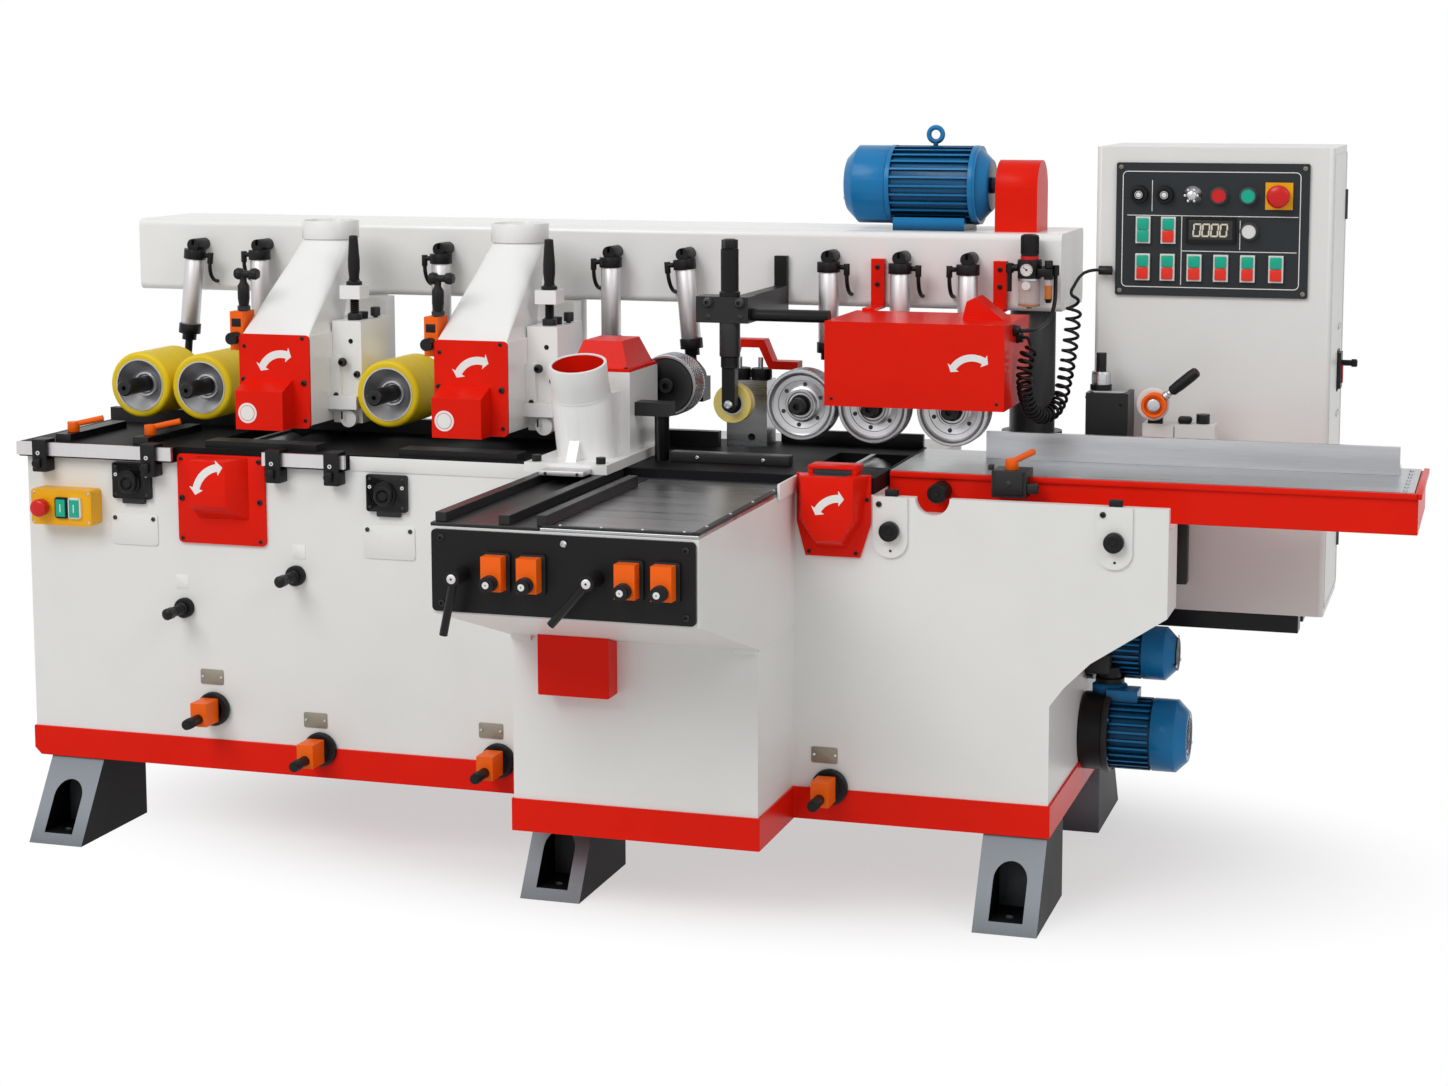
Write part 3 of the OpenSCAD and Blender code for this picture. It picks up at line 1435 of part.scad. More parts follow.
// The infeed table, its frame and its fence
module infeed_frame() color(red) {
    difference() {
        span([table_left, table_right], [-table_front, table_back], [apron_z, bed_z - table_drop]);
        table_top(bed_z);
    }
    span(shelf_x, [table_back, table_back + shelf_d], [bed_z - shelf_t, bed_z]);
}
module table_top(top)
    span([table_left, table_right - rim_w], [rim_w - table_front, table_back - rim_w],
        [bed_z - table_t, top]);
module infeed_table() {
    color(steel) table_top(bed_z);
    color(steel) along_x(fence_x)
        polygon([[fence_y, bed_z + seat], [fence_y + fence_foot, bed_z + seat],
            [fence_y + fence_foot, bed_z + fence_t],
            [fence_y + fence_t, bed_z + fence_t], [fence_y + fence_t, bed_z + fence_h],
            [fence_y, bed_z + fence_h]]);
    color(black) span(jaw_x, [-table_front - jaw_out, -table_front - seat], [bed_z - jaw_low, bed_z + jaw_h]);
    color(black) span(jaw_x, [-table_front - jaw_out, jaw_in - table_front], [bed_z + seat, bed_z + jaw_h]);
    color(black) rod_z(lever_post_r, middle(jaw_x), jaw_post_y,
        [bed_z + jaw_h, bed_z + jaw_h + lever_hub_h]);
}
module infeed_stop() {
    z = bed_z + stop_h;
    color(black) span(stop_x, stop_y, [bed_z, z]);
    color(steel) rod_z(stop_collar_r, middle(stop_x) - stop_collar_r, middle(stop_y),
        [z + seat, z + stop_collar_h]);
    color(black) rod_z(stop_cap_r, middle(stop_x) - stop_collar_r, middle(stop_y),
        [z + stop_collar_h + seat, z + stop_collar_h + stop_cap_h]);
    color(white) span(rest_x, rest_y, [bed_z, bed_z + rest_h]);
    color(black) rod_z(rest_knob_r, rest_x[1] - 2 * rest_knob_r, middle(rest_y),
        [bed_z + rest_h + seat, bed_z + rest_h + rest_knob_h]);
    color(black) span([pivot_x - ear_half, pivot_x + ear_half], [rest_y[0], rest_y[0] + ear_half],
        [bed_z + rest_h + seat, bed_z + pivot_rise + ear_half]);
    color(black) rod_y(pivot_pin_r, pivot_x, [hub_y[0], rest_y[0]], bed_z + pivot_rise);
}

// Small ratchet levers
module ratchet_lever(x, y, z, turn) color(orange) translate([x, y, z]) rotate([0, 0, turn])
    difference() {
        union() {
            rod_z(lever_hub_r, 0, 0, [slide_gap, lever_hub_h + lever_arm_r]);
            translate([0, 0, lever_hub_h - lever_arm_r])
                rotate([0, -lever_slope, 0]) rod_x(lever_arm_r, [0, lever_arm_l], 0, lever_arm_r);
        }
        rod_z(lever_post_r + run_gap, 0, 0, [-over, lever_hub_h + slide_gap]);
    }
module bed_lever_1() ratchet_lever(bar_x[0], lever_post_y, bed_z + bar_h, bed_lever_turn);
module bed_lever_2() ratchet_lever(bar_x[1], lever_post_y, bed_z + bar_h, bed_lever_turn);
module fence_lever() ratchet_lever(middle(jaw_x), jaw_post_y, bed_z + jaw_h, fence_lever_turn);
module stop_lever() color(orange) translate([pivot_x, 0, bed_z + pivot_rise]) difference() {
    union() {
        rod_y(hub_r, 0, hub_y, 0);
        rotate([0, stop_lever_turn, 0])
            rod_z(stop_lever_r / 2, 0, middle(hub_y), [0, stop_lever_l]);
        rotate([0, stop_lever_turn, 0])
            rod_z(stop_lever_r, 0, hub_y[1] - stop_lever_r, [2 * hub_r, stop_lever_l]);
    }
    rod_y(pivot_pin_r + run_gap, 0, grow(hub_y, over), 0);
}

// Right head block and press post
module right_block() {
    z = bed_z + right_h;
    color(steel) span(right_x, right_y, [bed_z, z]);
    color(black) for (x = [right_x[0] + right_ring_r, right_x[1] - right_ring_r])
        rod_z(right_ring_r, x, middle(handle_y), [z + seat, z + right_ring_t - seat]);
    top = z + handle_top;
    low = z + right_ring_t;
    color(red) along_y(handle_y)
        polygon([[handle_x[0], low], [handle_x[0] + handle_foot, low],
            [handle_x[0] + handle_slope, top - handle_t], [right_x[1] - handle_foot, top - handle_t],
            [right_x[1], low], [handle_x[1], low], [handle_x[1], low + handle_t],
            [right_x[1] + handle_t / 2, low + handle_t], [right_x[1] - handle_foot / 2, top],
            [handle_x[0] + handle_slope - handle_t / 2, top]]);
}
module press_post() color(black) {
    mid = middle(stem_y);
    span([stem_x - stem_half, stem_x + stem_half], stem_y, [press_z, stem_top]);
    rod_y(stem_half, stem_x, stem_y, press_z);
    rod_z(stem_knob_r, stem_x, mid, [stem_top, stem_top + stem_knob_h]);
    span(press_block_x, press_block_y, press_block_z);
    span(press_arm_x, [press_block_y[1] - over, beam_front], press_block_z);
    span(press_arm_x, [beam_front - press_rail_t, beam_front], press_rail_z);
    rod_x(press_bar_r, press_bar_x - [over, 0], press_bar_y, press_bar_z);
    rod_y(press_pin_r, stem_x, [stem_y[0], press_wheel_y[1]], press_z);
}
module press_wheel() color(yellow) difference() {
    rod_y(press_wheel_r, stem_x, press_wheel_y, press_z);
    rod_y(press_pin_r + run_gap, stem_x, grow(press_wheel_y, over), press_z);
}

// The electrical cabinet and its control panel
module cabinet_body() {
    color(white) along_z([cabinet_low, cabinet_top])
        round_rect([cabinet_left, cabinet_right], [cabinet_front, cabinet_front + cabinet_d],
            cabinet_corner);
    color(black) for (k = [0, 1])
        span([cabinet_left - cabinet_relief, cabinet_right - cabinet_bar_short],
            about(cabinet_front + cabinet_bar_in + cabinet_bar_w / 2 + k * cabinet_bar_step, cabinet_bar_w),
            [cabinet_low - cabinet_bar_h, cabinet_low - seat]);
    color(black) span([cabinet_right + seat, cabinet_right + switch_t],
        [switch_y - switch_half, switch_y + switch_half], [switch_z - switch_h, switch_z + switch_h]);
    color(black) {
        rod_x(socket_r, [hose_end[0] + seat, hose_end[0] + socket_len], hose_end[1], hose_end[2]);
        rod_y(socket_r - over, hose_end[0] + socket_len - socket_r - over,
            [hose_end[1], cabinet_front - seat], hose_end[2]);
    }
}
module panel_button(r, x_share, z_share)
    rod_y(r, at_share(panel_x, x_share), [panel_face - dial_button_t, panel_face - seat],
        at_share(panel_z, z_share));
module control_panel() {
    y = panel_face;
    color(dark) difference() {
        along_y([y, cabinet_front]) round_rect(panel_x, panel_z, panel_inset);
        stop_bore();
    }
    color(black) for (s = knob_shares) panel_button(dial_button_r, s, knob_row_share);
    color(black) panel_button(dial_button_r / 2, small_knob_share, knob_row_share);
    color(red) panel_button(dial_button_r, push_shares[0], knob_row_share);
    color(green) panel_button(dial_button_r, push_shares[1], knob_row_share);
    color(white) panel_button(dial_button_r, white_knob_share, double_z_shares[0]);
    color(white) for (k = [0, 1], s = double_row_shares[k])
        double_button(at_share(panel_x, s), at_share(panel_z, double_z_shares[k]));
    color(black) span([for (s = display_x_shares) at_share(panel_x, s)], [y - display_t, y - seat],
        [for (s = display_z_shares) at_share(panel_z, s)]);
    color(yellow) difference() {
        span(about(stop_x_cab, stop_plate), [y - stop_plate_t, y - seat], about(knob_row_z, stop_plate));
        stop_bore();
    }
}
module double_button(x, z)
    span(about(x, double_w), [panel_face - double_t, panel_face - seat], about(z, double_h));
module stop_bore()
    rod_y(stop_neck_r + run_gap, stop_x_cab, [cabinet_front - stop_plate, cabinet_front + over], knob_row_z);
module emergency_stop() color(red) {
    y = panel_face - stop_plate_t - press_travel - over;
    rod_y(stop_head_r, stop_x_cab, [y - stop_head_t, y], knob_row_z);
    rod_y(stop_neck_r, stop_x_cab,
        [y - stop_head_t / 2, cabinet_front - press_travel - slide_gap], knob_row_z);
}

// Air service unit and hoses
module air_unit() {
    z = air_body_z;
    top = z[1] + air_ring_t;
    end = air_hose_route[0];
    color(black) rod_z(air_body_r, air_x, air_y, z);
    color(black) span([air_x - air_bracket_half, air_x + air_bracket_half],
        [air_y, beam_front], grow(z, -air_bracket_in));
    color(red) rod_z(air_knob_r + over, air_x, air_y, [z[1] + seat, top]);
    color(black) rod_z(air_knob_r, air_x, air_y, [top + seat, top + air_knob_h]);
    color(steel) rod_z(air_bowl_r, air_x, air_y, [z[0] - air_bowl_h, z[0] - seat]);
    color(white) rod_y(gauge_r, air_x, [air_y - air_body_r - gauge_t, air_y - air_body_r - seat], middle(z));
    color(black) rod_x(air_elbow_r - over, [air_x + air_body_r + seat, end[0]], air_y, middle(z));
    color(black) rod_z(air_elbow_r, end[0], air_y, [end[2] + seat, middle(z) + air_elbow_r + over]);
    color(black) tube(plain(air_hose_route, air_hose_steps), air_hose_d / 2, air_hose_sides);
}
hose_line = curled(hose_route, curl_counts, curl_r, curl_rings);
module curly_hose() color(black) tube(hose_line, hose_d / 2, hose_sides);
echo(curly_hose_gap = least_gap(hose_line, 6) - hose_d, rings = len(hose_line));

base_frame();
base_plinth();
machine_feet();
bed_plate();
bed_rails();
feed_beam();
feed_motor();
belt_guard();
air_cylinders();
roller_guard();
spindle_covers();
bearing_plates();
start_box();
position_indicators();
arm_frame();
arm_panel();
arm_table();
infeed_frame();
infeed_table();
cabinet_body();
control_panel();
drive_motors();
air_unit();
curly_hose();
right_block();
press_post();
infeed_stop();
carrier_1();
carrier_2();
carrier_3();
carrier_4();
carrier_5();
carrier_6();
carrier_7();
feed_roller_1();
feed_roller_2();
feed_roller_3();
feed_roller_4();
feed_roller_5();
feed_roller_6();
feed_roller_7();
pressure_shoe();
top_head_1();
top_head_2();
top_cutter_1();
top_cutter_2();
side_hood();
left_cutter();
right_cutter();
bottom_cutter_1();
bottom_cutter_2();
clamp_lever_1();
clamp_lever_2();
bed_lever_1();
bed_lever_2();
fence_lever();
stop_lever();
press_wheel();
emergency_stop();
start_mushroom();
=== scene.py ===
"""Looks of the four sided moulder: camera, cords, materials and the details on its parts."""
import itertools
import math

import bmesh
import bpy
import numpy as np
from mathutils import Matrix, Vector


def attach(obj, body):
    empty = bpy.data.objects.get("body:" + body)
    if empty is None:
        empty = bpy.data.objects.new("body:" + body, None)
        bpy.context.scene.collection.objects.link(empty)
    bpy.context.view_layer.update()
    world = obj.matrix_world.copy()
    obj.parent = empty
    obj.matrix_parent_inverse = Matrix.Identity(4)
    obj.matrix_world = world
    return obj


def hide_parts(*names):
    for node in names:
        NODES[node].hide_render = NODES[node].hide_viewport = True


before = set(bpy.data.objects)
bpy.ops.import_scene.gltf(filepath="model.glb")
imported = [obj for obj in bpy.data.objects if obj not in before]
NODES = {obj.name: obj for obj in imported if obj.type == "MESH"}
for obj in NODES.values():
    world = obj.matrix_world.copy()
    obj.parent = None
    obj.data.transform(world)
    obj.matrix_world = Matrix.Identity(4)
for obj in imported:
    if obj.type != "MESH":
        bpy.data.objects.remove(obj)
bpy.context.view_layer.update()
MM = 0.001
X, Y, Z = range(3)

# Camera, fitted to the photograph
LENS = 64.03
SENSOR = 36
CAMERA_AT = (1.5374, -4.5991, 1.5176)
YAW = 16.616
PITCH = 7.052
SHIFT = (-0.0296, -0.1)
CLIP_END = 60

# Curly hose, its route as in the part's source
HOSE_D = 6.4 * MM
CURL_R = 13 * MM
CURL_RINGS = 24
HOSE_ROUTE = [
    (620, 160, 1036), (629, 160, 1036), (636, 152, 1022), (632, 138, 1000), (630, 128, 975),
    (630, 132, 950), (630, 152, 925), (633, 184, 898), (645, 228, 880), (662, 262, 887),
    (670, 285, 908), (674, 304, 937), (677, 320, 968), (679, 333, 1000), (681, 344, 1035),
    (682, 356, 1070), (678, 366, 1098), (681, 376, 1124), (695, 388, 1143), (713, 402, 1148),
    (722, 402, 1148)]
CURL_COUNTS = [0, 0, 2, 2, 2, 2.5, 3, 3.5, 3, 2.5, 2, 2, 1.75, 1.75, 1.75, 1, 0.5, 0, 0, 0]

# Rollers and wheels, in millimetres
SOFT_ROLLERS = (1, 2, 3)
STEEL_WHEELS = (4, 5, 6, 7)
STUB = 62
TYRE_W = 150
TYRE_EDGE = 8
TYRE_SEAMS = (0.52, 0.8)
LONG_NOSE = 30
SHORT_NOSE = 8
WHEEL_W = 50
WHEEL_4_W = 60
WHEEL_4_DISC = 52
WHEEL_RIM = 9
RIM_EDGE = 1.2
WHEEL_HOLES = 6
WHEEL_HOLE_TURN = 0.35
WHEEL_HOLE_SHARE = 0.66
KNURL = 1.8
KNURL_ROWS = 8
KNURL_COLS = 120

# Places that the details follow and the thickness of print, in millimetres
BASE_FRONT = -120
BED_LOW = 770
BED_TOP = 800
PRINT = 0.6

# Top heads: screws by place off a corner and radius, discs by radius, front, back and finish
HUMP_OUT = 46
HOOD_SCREWS = ((12, 160, 4), (138, 178, 4), (9, 94, 5), (140, 90, 6), (142, 16, 4))
HOOD_DISC = ((20, 0.6, 0, "print"), (15.5, 0.9, 0.5, "red"), (14.5, 1.2, 0.5, "print"))
CASTING_FRONT = 60
CASTING_SCREWS = ((28, -12, -81, 9), (53, 0, -106, 7), (12, -12, -147, 5))

# Covers of the bottom heads by their outlines in X and Z, and the roller guard
COVER_T = 6
LEFT_HUMP = ((-963, 661), (-853, 661), (-853, 786), (-963, 786))
LEFT_FACE = ((-963, 691), (-885, 691), (-885, 781), (-963, 781))
LEFT_HUMP_OUT = 38
RIGHT_TOP = 806
RIGHT_PLATE = ((276, 653), (379, 653), (399, 716), (399, RIGHT_TOP), (259, RIGHT_TOP), (259, 716))
RIGHT_HUMP = ((299, 669), (352, 669), (383, 719), (397, RIGHT_TOP), (261, RIGHT_TOP), (262, 719))
RIGHT_FACE = ((305, 689), (354, 689), (377, 727), (377, RIGHT_TOP), (281, RIGHT_TOP), (281, 727))
RIGHT_HUMP_OUT = 44
RIGHT_LID = ((284, -140, 816), (376, -88, 822))
GUARD_RIGHT = 608
STRAP_X = (293, 539)
STRAP_FRONT = 335
STRAP_SCREWS = (1116, 1150)
FITTINGS = ((128, 1052), (160, 1036))

# Front of the base: middles of plates and cranks, pads from left to right and low to high
NAME_PLATES = ((-1007, 531), (-751, 604))
PADS = ((-1161, -1058, 600, 663), (-612, -504, 600, 666))
PAD_T = 2.5
SCALES = ((-947, 342), (-723, 270), (-352, 276), (312, 279))
SCALE_T = 1.6
PLATE_T = 8
CRANKS = ((-1002, 479), (-757, 557))
TRIM_END = -638
GUSSETS = ((-214, -174), (209, 251))
GUSSET_Z = (513, 549)
PEDESTAL_FRONT = -344
CABINET_POST = ((876, 392, 535), (906, 420, 700))
NOTCH_KNOB_AT = (508, -72, 768)

# Side arm, bed bars by two corners and height, and trim clips
ARM_LEFT = -220
ARM_NEAR = -500
CLAMP_AT = {1: (-157, 699.5), 2: (80, 704.5)}
BED_BARS = (((-20, -25), (215, 5), 18), ((110, 283), (400, 299), 26))
BAR_SCREWS = (35, 165)
CLIP_HALF = 16
CLIP_LOW = 742
CLIP_TOP = 807

# Back of the base
BACK_PANELS = ((-1240, -640), (-560, 40), (120, 620))
BACK_PANEL_Z = (300, 690)
LOUVRES = 7
LOUVRE_STEP = 24
LOUVRE_LEAN = -25

# Side hood
SIDE_PIPE = (-151.5, -115, 818)
SIDE_PIPE_R = 53.5
SIDE_STEP = 2.5
SIDE_SPIGOT = 60
SIDE_LEAN = 15
BRIGHT_BAR = ((-188, -270, 802), (-102, -226, 811))
CAP_LIP = 6

# Stop lever, press post, motors by their ends, ways out and radii, and air gauge
STOP_PIVOT = (850, 900)
STOP_LEAN = 50
STEM_FRONT = 60
MOTOR_ENDS = (((207, 450, 1309), -1, 60), ((935, 250, 268), 1, 46), ((903, 310, 414), 1, 40))
FEED_AXIS = (450, 1309)
FEED_RINGS = (300, 468)
FEED_BELL = 478
GAUGE_NEEDLE = -50
GAUGE_TICKS = 9
GAUGE_FIRST = -45
GAUGE_STEP = 33.75

# Arrows: centre off a corner, radius, first and last angle, width
HOOD_ARROW = (92, 100, 46, 165, 62, 15)
LEFT_ARROW = (118, -76, 58, 178, 88, 15)
RIGHT_ARROW = (92, 69, 46, 162, 78, 14)
GUARD_ARROW = (-60, 55, 44, 158, 48, 13)

# Turned details: radius, height from the face they stand on, and the finish from there on
TYRE_HUB = ((16, 27, "turned"), (18.5, 27), (18.5, 21), (20.5, 20), (20.5, 25), (22.5, 25),
            (22.5, 23), (24.5, 23), (24.5, 31), (30, 27), (44, 11), (50.5, 3), (50.5, -0.6),
            (53, -0.6), (53.5, 0.4, "tyre"))
WHEEL_HUB = ((15.5, -1), (20, -1), (20, 2, "turned"), (24, 2), (26, 0.5), (28.5, 0.5), (30, 2),
             (30, 12), (34, 13.5))
# Painted shade: a hole in a wheel's dish is drawn as a short black cylinder
WHEEL_HOLE = ((0, 11.2, "black"), (4.2, 11.2), (4.2, 14))
GRIP_END = ((0, 1, "plastic"), (5, 1), (7.5, -0.5))
GRIP_COLLAR = ((16, -0.2, "black"), (16, 6), (11, 9), (11, 12))
LIFT_NUT = ((14.5, 0.4, "black"), (14.5, 12), (9, 15))
# Painted shade: a hole drawn as a black disc with a rim
CASTING_HOLE = ((0, -0.2, "black"), (4, -0.2), (5, -0.6), (5, 1))
CASTING_KNOB = ((5, -1, "black"), (5, 3), (10, 3), (10, 19), (8.5, 21), (0, 21))
INDICATOR_STEM = ((8, 0, "black"), (13, 2), (13, 10), (10, 12), (12, 26), (12, 50), (7, 58),
                  (7, 70))
INDICATOR_GRIP = ((0, -18, "plastic"), (9, -17), (12, -11), (11, -3), (7, 2), (7, 14), (11, 19),
                  (12, 27), (9, 33), (0, 34))
KNOB_DOT = ((0, -19, "print"), (4, -19), (4, -17))
FITTING = ((9.4, -0.5, "plastic"), (11, 0.5), (11, 5), (9.5, 6), (9.5, 12.5), (4, 13))
PLATE_KNOB = ((0, -15.5, "plastic"), (5, -15.5), (6, -14.4), (9, -14.4), (10, -15.4), (14, -15.4),
              (17, -13.8))
PLATE_RING = ((1.5, -2.6, "bare"), (1.5, -3.2), (3.6, -3.2), (3.6, -2))
BOSS = ((0, -1, "plastic"), (8, -1), (9, 0), (12, 0), (13, -2.5), (17, -2.5), (19, -0.5), (19, 8),
        (22, 10), (22, 18))
CRANK_FLANGE = ((10.4, -20, "plastic"), (13, -18), (13, -14), (18, -14), (20, -11), (20, -0.2))
CRANK_END = ((0, -78, "plastic"), (7, -77), (11.5, -73), (11.5, -56), (10.2, -53))
NOTCH_KNOB = ((0, 0, "plastic"), (5, 0), (6, 2), (12, 2), (13, 0), (16, 0), (18, 3), (18, 52))
SELECTOR = ((0, -5, "bare"), (4, -5), (5, -4.4, "plastic"), (6, -4.4), (6.4, -5, "steel"),
            (7.6, -5, "plastic"), (9, -3), (11, -0.2))
KEY_SWITCH = ((0, -8, "steel"), (6, -8), (9, -6), (9, -1), (7, 0), (16, 11), (18, 13.8))
KEY_BALL = ((0, -10, "steel"), (2.5, -9), (3, -6))
ADJUSTER_FLANGE = ((17, -14, "plastic"), (31, -14), (34, -11), (34, -4))
LEVER_SCREW = ((0, -1.6, "plastic"), (2, -1.6, "alu"), (5.5, -1.6), (8, -0.6), (8, 0.4))
GAUGE_RIM = ((12, -0.4, "plastic"), (13, -2.2), (14.6, -2.2), (14.9, 0), (14.9, 7))
GAUGE_HUB = ((0, -1.2, "plastic"), (2, -1.2), (2, -0.1))
GAUGE_TICK = ((0, -0.5, "plastic"), (0.7, -0.5), (0.7, 0))
BOWL_RING = ((20.5, 0, "steel"), (22.4, 0), (22.4, -4), (20.8, -5))
BOWL_FOOT = ((0, -5, "amber"), (5, -5), (6, -1), (15, -1.2), (21.4, 1.5), (21.4, 4))
BOWL_BUTTON = ((0, -25.6, "bare"), (8.5, -25.6), (9, -20))
SIGHT_TUBE = ((7, 0, "plastic"), (9, -1), (9, -6), (7.4, -7, "glass"), (7.4, -18, "amber"),
              (7.4, -44, "plastic"), (7.6, -44), (5, -52), (0, -52))
SIGHT_CAP = ((0, 30, "plastic"), (7, 30), (8, 28), (8, 16), (5, 14))
AIR_PIPE = ((7, 0, "plastic"), (7, 18))
AIR_ELBOW = ((0, 11, "plastic"), (6, 11), (8, 9), (8, -7), (6.5, -8), (4.2, -8), (4.2, -44),
             (0, -44))
MOTOR_BELL = ((30, 0.5, "black"), (72, 0.5), (75, 4), (75, 44), (78, 46), (78, 56), (75, 58),
              (70.5, 58))
MOTOR_PIPE = ((34, 66, "blue"), (34, 88), (28, 92, "black"), (28, 102), (22, 104), (22, 124))
FEED_RING = ((66, -5, "blue"), (78, -5), (79, -4), (79, 4), (78, 5), (66, 5))
STOP_CENTRE = ((0, -3, "steel"), (9, -3), (12, -2), (12, 0.2))
STOP_RING = ((18, 0.2, "orange"), (19, -2), (22, -2.6), (24.2, -1), (24.2, 0.5))
STOP_GRIP = ((6, 24, "steel"), (8, 26), (8, 34), (6, 36), (6, 40, "plastic"), (9.8, 44), (11, 62),
             (11.2, 90), (10, 103), (6, 106.5), (0, 107))
REST_RIM = ((25, 0.6, "bare"), (30, 0.6), (31.5, 2), (31.5, 5))
REST_FACE = ((0, 0.8, "bare"), (25, 0.8))
COLLAR_RING = ((18.2, 3, "plastic"), (21, 3), (21, 12), (18.2, 13))
PRESS_BEARING = ((8.4, -0.5, "plastic"), (19, -0.5), (19, -0.9, "steel"), (22, -0.9), (22, 0.1))
STEM_SLEEVE = ((13, 70, "black"), (17.5, 72), (17.5, 92), (20, 94), (20, 157.5), (17.2, 157.5))
STEM_TOP = ((20, 208.5, "black"), (20, 216), (17.2, 218), (17.2, 298))
STEM_CAP = ((0, 1.5, "plastic"), (10, 1.5), (15, -1))
RING_PIN = ((5, 0, "steel"), (5, 22), (0, 22))
# Painted shade: a hole drawn as a black disc with a rim
BLOCK_HOLE = ((0, -0.3, "black"), (6, -0.3), (7.5, -0.8), (7.5, 0.5))
SWITCH_KNOB = ((6, 6, "plastic"), (6, 26), (8, 27), (8, 36), (6, 38), (0, 38))
HINGE = ((0, -30, "black"), (6, -30), (6, 30), (0, 30))
CLIP_RING = ((2, -4.6, "bare"), (2, -5.4), (4.2, -5.4), (4.2, -4))
CLIP_KNOB = ((0, -13, "plastic"), (6, -13), (8, -11), (8, -4))

# Studio
SKY_LEVEL = 0.42
FLOOR_R = 14
FLOOR_TONE = (0.7, 0.7, 0.7, 1)
FLOOR_SQUEEZE = (0.5, 1, 0)
FLOOR_MIDDLE = (0, -0.3, 0)
FADE = (0.40, 0.78)
FADE_NEAR = 0.56
LAMPS = (("key", (-3.6, -8.4, 8.4), (0, 0, 0.7), 6, 640),
         ("fill", (8.0, -5.0, 7.0), (0.3, 0, 0.7), 5, 190),
         ("top", (0, -0.5, 7.0), (0, 0, 0.8), 6, 25))

# Colours, linear
WHITE = (0.79, 0.79, 0.77)
# Partly painted light: a glossier white paint, also made lighter than the white paint for the light
# that the upper parts catch
LIT_GLOSS_WHITE = (0.87, 0.87, 0.86)
RED = (0.77, 0.013, 0.004)
BLACK = (0.006, 0.006, 0.007)
IRON = (0.012, 0.013, 0.014)
# Painted light: the lighter colour of cast iron on faces that look to the front
IRON_LIT_FRONT = (0.290, 0.322, 0.352)
BLUE = (0.010, 0.19, 0.45)
YELLOW = (0.80, 0.58, 0.008)
ORANGE = (0.95, 0.135, 0.005)
STEEL = (0.52, 0.53, 0.55)
TABLE = (0.40, 0.405, 0.415)
TURNED = (0.50, 0.50, 0.51)
SATIN = (0.62, 0.60, 0.61)
PANEL = (0.026, 0.030, 0.033)
BOX_YELLOW = (0.86, 0.42, 0.004)
CAP_RED = (0.62, 0.006, 0.006)
LENS_RED = (0.80, 0.03, 0.012)
GREEN = (0.006, 0.40, 0.26)
AMBER = (0.55, 0.16, 0.01)
CREAM = (0.78, 0.62, 0.17)
PRINT_WHITE = (0.82, 0.82, 0.80)
BARE_WHITE = (0.75, 0.75, 0.73)
TARNISH = (0.27, 0.24, 0.19)
DARK_GREY = (0.045, 0.047, 0.05)
SCREEN = (0.008, 0.007, 0.006)
LIT = (0.72, 0.66, 0.52)
SMOKE = (0.80, 0.74, 0.72)
WORN = (0.5, 0.5, 0.5)
FULL_WHITE = (1, 1, 1, 1)

# Numbers that all finishes share
BLOTCH_DETAIL = 4
GRAIN_DETAIL = 3
GRAIN_SHARE = 0.35
TONE_STOPS = (0.3, 0.7)
RELIEF = 1 * MM
LEAST_ROUGH = 0.02
# Range of the normal's Y over which the painted front light comes in
LIT_FRONT_SLOPE = (-0.4, -0.8)
EDGE_SHARPNESS = (0.54, 0.62)
# Samples of the painted shade in hollows
SHADE_SAMPLES = 6


def show(name, data):
    """A new object in the scene."""
    obj = bpy.data.objects.new(name, data)
    bpy.context.scene.collection.objects.link(obj)
    return obj


def camera():
    """The photograph's viewpoint."""
    data = bpy.data.cameras.new("camera")
    data.lens = LENS
    data.sensor_width = SENSOR
    data.shift_x, data.shift_y = SHIFT
    data.clip_end = CLIP_END
    cam = show("camera", data)
    cam.location = CAMERA_AT
    cam.rotation_euler = (math.radians(90 - PITCH), 0, math.radians(YAW))
    bpy.context.scene.camera = cam


# Shader helpers
def shader(name):
    """A new material with its node tree and its main shader."""
    mat = bpy.data.materials.new(name)
    mat.use_nodes = True
    tree = mat.node_tree
    return mat, tree, tree.nodes["Principled BSDF"]


def feed(tree, node, inputs):
    """Gives a node's inputs plain values or links them to other nodes' outputs."""
    for key, value in inputs.items():
        if isinstance(value, bpy.types.NodeSocket):
            tree.links.new(value, node.inputs[key])
        else:
            node.inputs[key].default_value = value
    return node


def add(tree, kind, inputs=None, **settings):
    """A new shader node with its settings and inputs."""
    node = tree.nodes.new(kind)
    for key, value in settings.items():
        setattr(node, key, value)
    return feed(tree, node, inputs or {})


def tone(color, k=1.0):
    """A colour made lighter or darker."""
    return tuple(min(1, c * k) for c in color) + (1,)


def mixed(tree, share, first, second, kind="MIX"):
    """Two colours mixed by a share."""
    inputs = {0: share, 6: first, 7: second}
    return add(tree, "ShaderNodeMix", inputs, data_type="RGBA", blend_type=kind).outputs[2]


def ranged(tree, value, start, end, low=0.0, high=1.0, **settings):
    """A value between start and end, drawn out to lie between low and high."""
    inputs = {"Value": value, "From Min": start, "From Max": end, "To Min": low, "To Max": high}
    return add(tree, "ShaderNodeMapRange", inputs, **settings).outputs["Result"]


def noise(tree, place, scale, detail):
    """Soft blotches of one size."""
    inputs = {"Vector": place, "Scale": scale, "Detail": detail}
    return add(tree, "ShaderNodeTexNoise", inputs).outputs["Fac"]


def painted_front_light(tree, colour, front):
    """Painted light: another colour on faces that look to the front, standing in for the light that
    falls on them.
    """
    normal = add(tree, "ShaderNodeNewGeometry").outputs["Normal"]
    axes = add(tree, "ShaderNodeSeparateXYZ", {0: normal})
    return mixed(tree, ranged(tree, axes.outputs["Y"], *LIT_FRONT_SLOPE), colour, tone(front))


